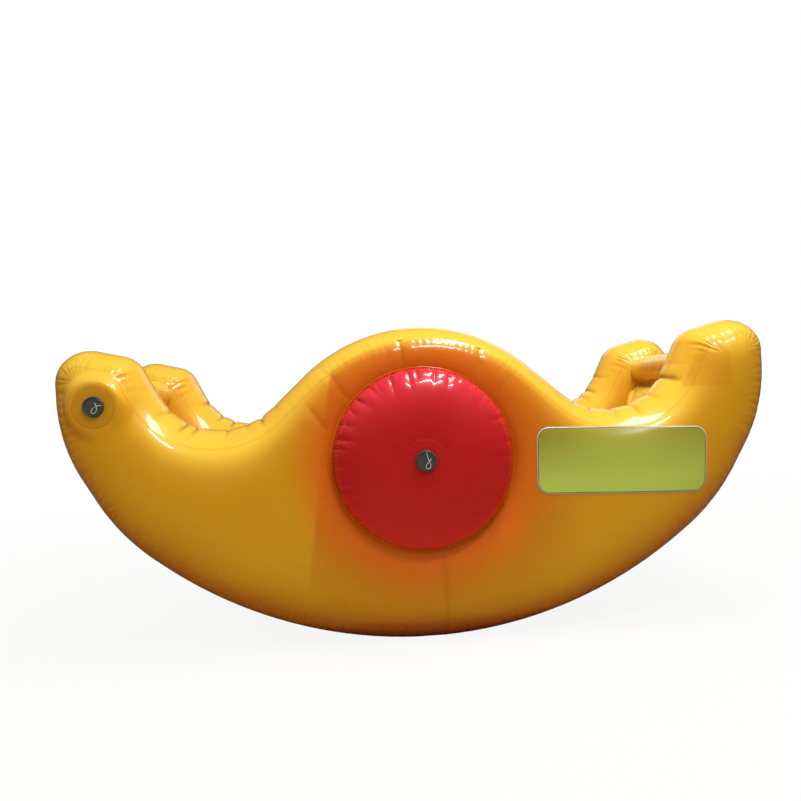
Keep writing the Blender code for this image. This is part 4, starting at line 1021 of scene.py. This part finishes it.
# Grab handles. Black webbing is sewn at each foot to a square red patch, which is welded on to the drum and
# bent to it. The strap arches up for the rider's hand, and a stitched box with a cross holds each foot.
def facing_up(bm):
    """Turns a sheet's faces so that they look up."""
    bmesh.ops.recalc_face_normals(bm, faces=bm.faces)
    if sum(f.normal.z for f in bm.faces) < 0:
        bmesh.ops.reverse_faces(bm, faces=bm.faces)


webbing, tree, shader = new_finish("black_webbing")
shader.inputs["Roughness"].default_value = 0.8
shader.inputs["Base Color"].default_value = linear("#242428")
coords = add(tree, "ShaderNodeTexCoord").outputs["Object"]
yarns = []
for scale, way in ((130.0, "Y"), (60.0, "X")):
    waves = {"Vector": coords, "Scale": scale, "Distortion": 0.4}
    yarns.append(add(tree, "ShaderNodeTexWave", waves, bands_direction=way).outputs["Fac"])
cloth = add(tree, "ShaderNodeMath", {0: yarns[0], 1: yarns[1]}, operation="ADD")
relief = add(tree, "ShaderNodeBump", {"Height": cloth.outputs[0], "Strength": 0.5, "Distance": 0.0006})
tree.links.new(relief.outputs[0], shader.inputs["Normal"])
thread = moulded("black_sewing_thread", "#17171a", 0.6, 900.0, 0.4)
handle_half, strap_foot, arch, handle_lean = 0.10, 0.035, 0.05, math.radians(50)
strap_half, strap_sheet, thread_size = 0.019, 0.003, (0.003, 0.0009, 0.0008, 1)
patch_floor = drum_radius + 0.0003
box_half, box_long, stitch = strap_half - 0.003, strap_foot / 2 - 0.003, 0.004
seams = [(-1, -1), (1, -1), (1, 1), (-1, 1), (-1, -1), (1, 1), (1, -1), (-1, 1)]
patch_wide, patch_long, patch_corner, patch_sheet = 0.035, 0.0375, 0.01, 0.0008
strap_base = patch_floor + patch_sheet + 0.0003
for end, side in (("left", -1), ("right", 1)):
    place = Matrix.Translation((0, shift, drum_height)) @ Matrix.Rotation(side * handle_lean, 4, "Y")
    ways = -handle_half * np.cos(np.linspace(0, math.pi, 61))
    ways = np.concatenate(([-handle_half - strap_foot], ways, [handle_half + strap_foot]))
    rises = arch * np.maximum(1 - (ways / handle_half) ** 2, 0) ** 0.7 * (np.abs(ways) < handle_half)
    bm = bmesh.new()
    rows = []
    for y, up in zip(ways, rises):
        rows.append([bm.verts.new((x, y, strap_base + up)) for x in np.linspace(-strap_half, strap_half, 9)])
    for a, b in zip(rows, rows[1:]):
        for quad in zip(a, a[1:], b[1:], b):
            bm.faces.new(quad)
    for vert in bm.verts:
        if abs(vert.co.y) > handle_half - 1e-6:
            vert.co.z = math.sqrt(strap_base**2 - vert.co.x**2)
    facing_up(bm)
    bmesh.ops.solidify(bm, geom=bm.faces[:], thickness=-strap_sheet)
    name = f"{end}_handle_webbing"
    strap = finished(name, kept(name, bm, place), webbing, "seesaw", "black_webbing", f"{end}_grab_handle")
    strap.data.set_sharp_from_angle(angle=math.radians(50))
    bm = bmesh.new()
    for way in (-1, 1):
        middle = way * (handle_half + strap_foot / 2)
        corners = [(x * box_half, y * box_long) for x, y in seams]
        for (ax, ay), (bx, by) in zip(corners, corners[1:]):
            length = math.hypot(bx - ax, by - ay)
            for k in range(int(length / stitch)):
                share = (k + 0.5) * stitch / length
                x, y = ax + (bx - ax) * share, middle + ay + (by - ay) * share
                at = Matrix.Translation((x, y, math.sqrt(strap_base**2 - x**2) + strap_sheet + 0.0002))
                turn = Matrix.Rotation(math.atan2(by - ay, bx - ax), 4, "Z")
                bmesh.ops.create_cube(bm, size=1, matrix=at @ turn @ Matrix.Diagonal(thread_size))
    name = f"{end}_handle_stitches"
    finished(name, kept(name, bm, place), thread, "seesaw", "black_webbing")
    for way, where in ((-1, "front"), (1, "rear")):
        bm = bmesh.new()
        bmesh.ops.create_grid(bm, x_segments=24, y_segments=24, size=0.5)
        for vert in bm.verts:
            spot = [vert.co.x * 2 * patch_wide, vert.co.y * 2 * patch_long]
            square = (patch_wide - patch_corner, patch_long - patch_corner)
            past = [max(abs(s) - q, 0) for s, q in zip(spot, square)]
            pull = max(1, math.hypot(*past) / patch_corner)
            u, v = [math.copysign(q + p / pull, s) if p > 0 else s for s, q, p in zip(spot, square, past)]
            angle = math.asin(u / patch_floor)
            y = way * (handle_half + strap_foot / 2) + v
            vert.co = (patch_floor * math.sin(angle), y, patch_floor * math.cos(angle))
        facing_up(bm)
        bmesh.ops.solidify(bm, geom=bm.faces[:], thickness=-patch_sheet)
        node = f"{end}_handle_{where}_patch"
        data = kept(f"{node}_sheet", bm, place)
        finished(f"{node}_sheet", data, patch_red, "seesaw", "red_pvc_tarpaulin", node)
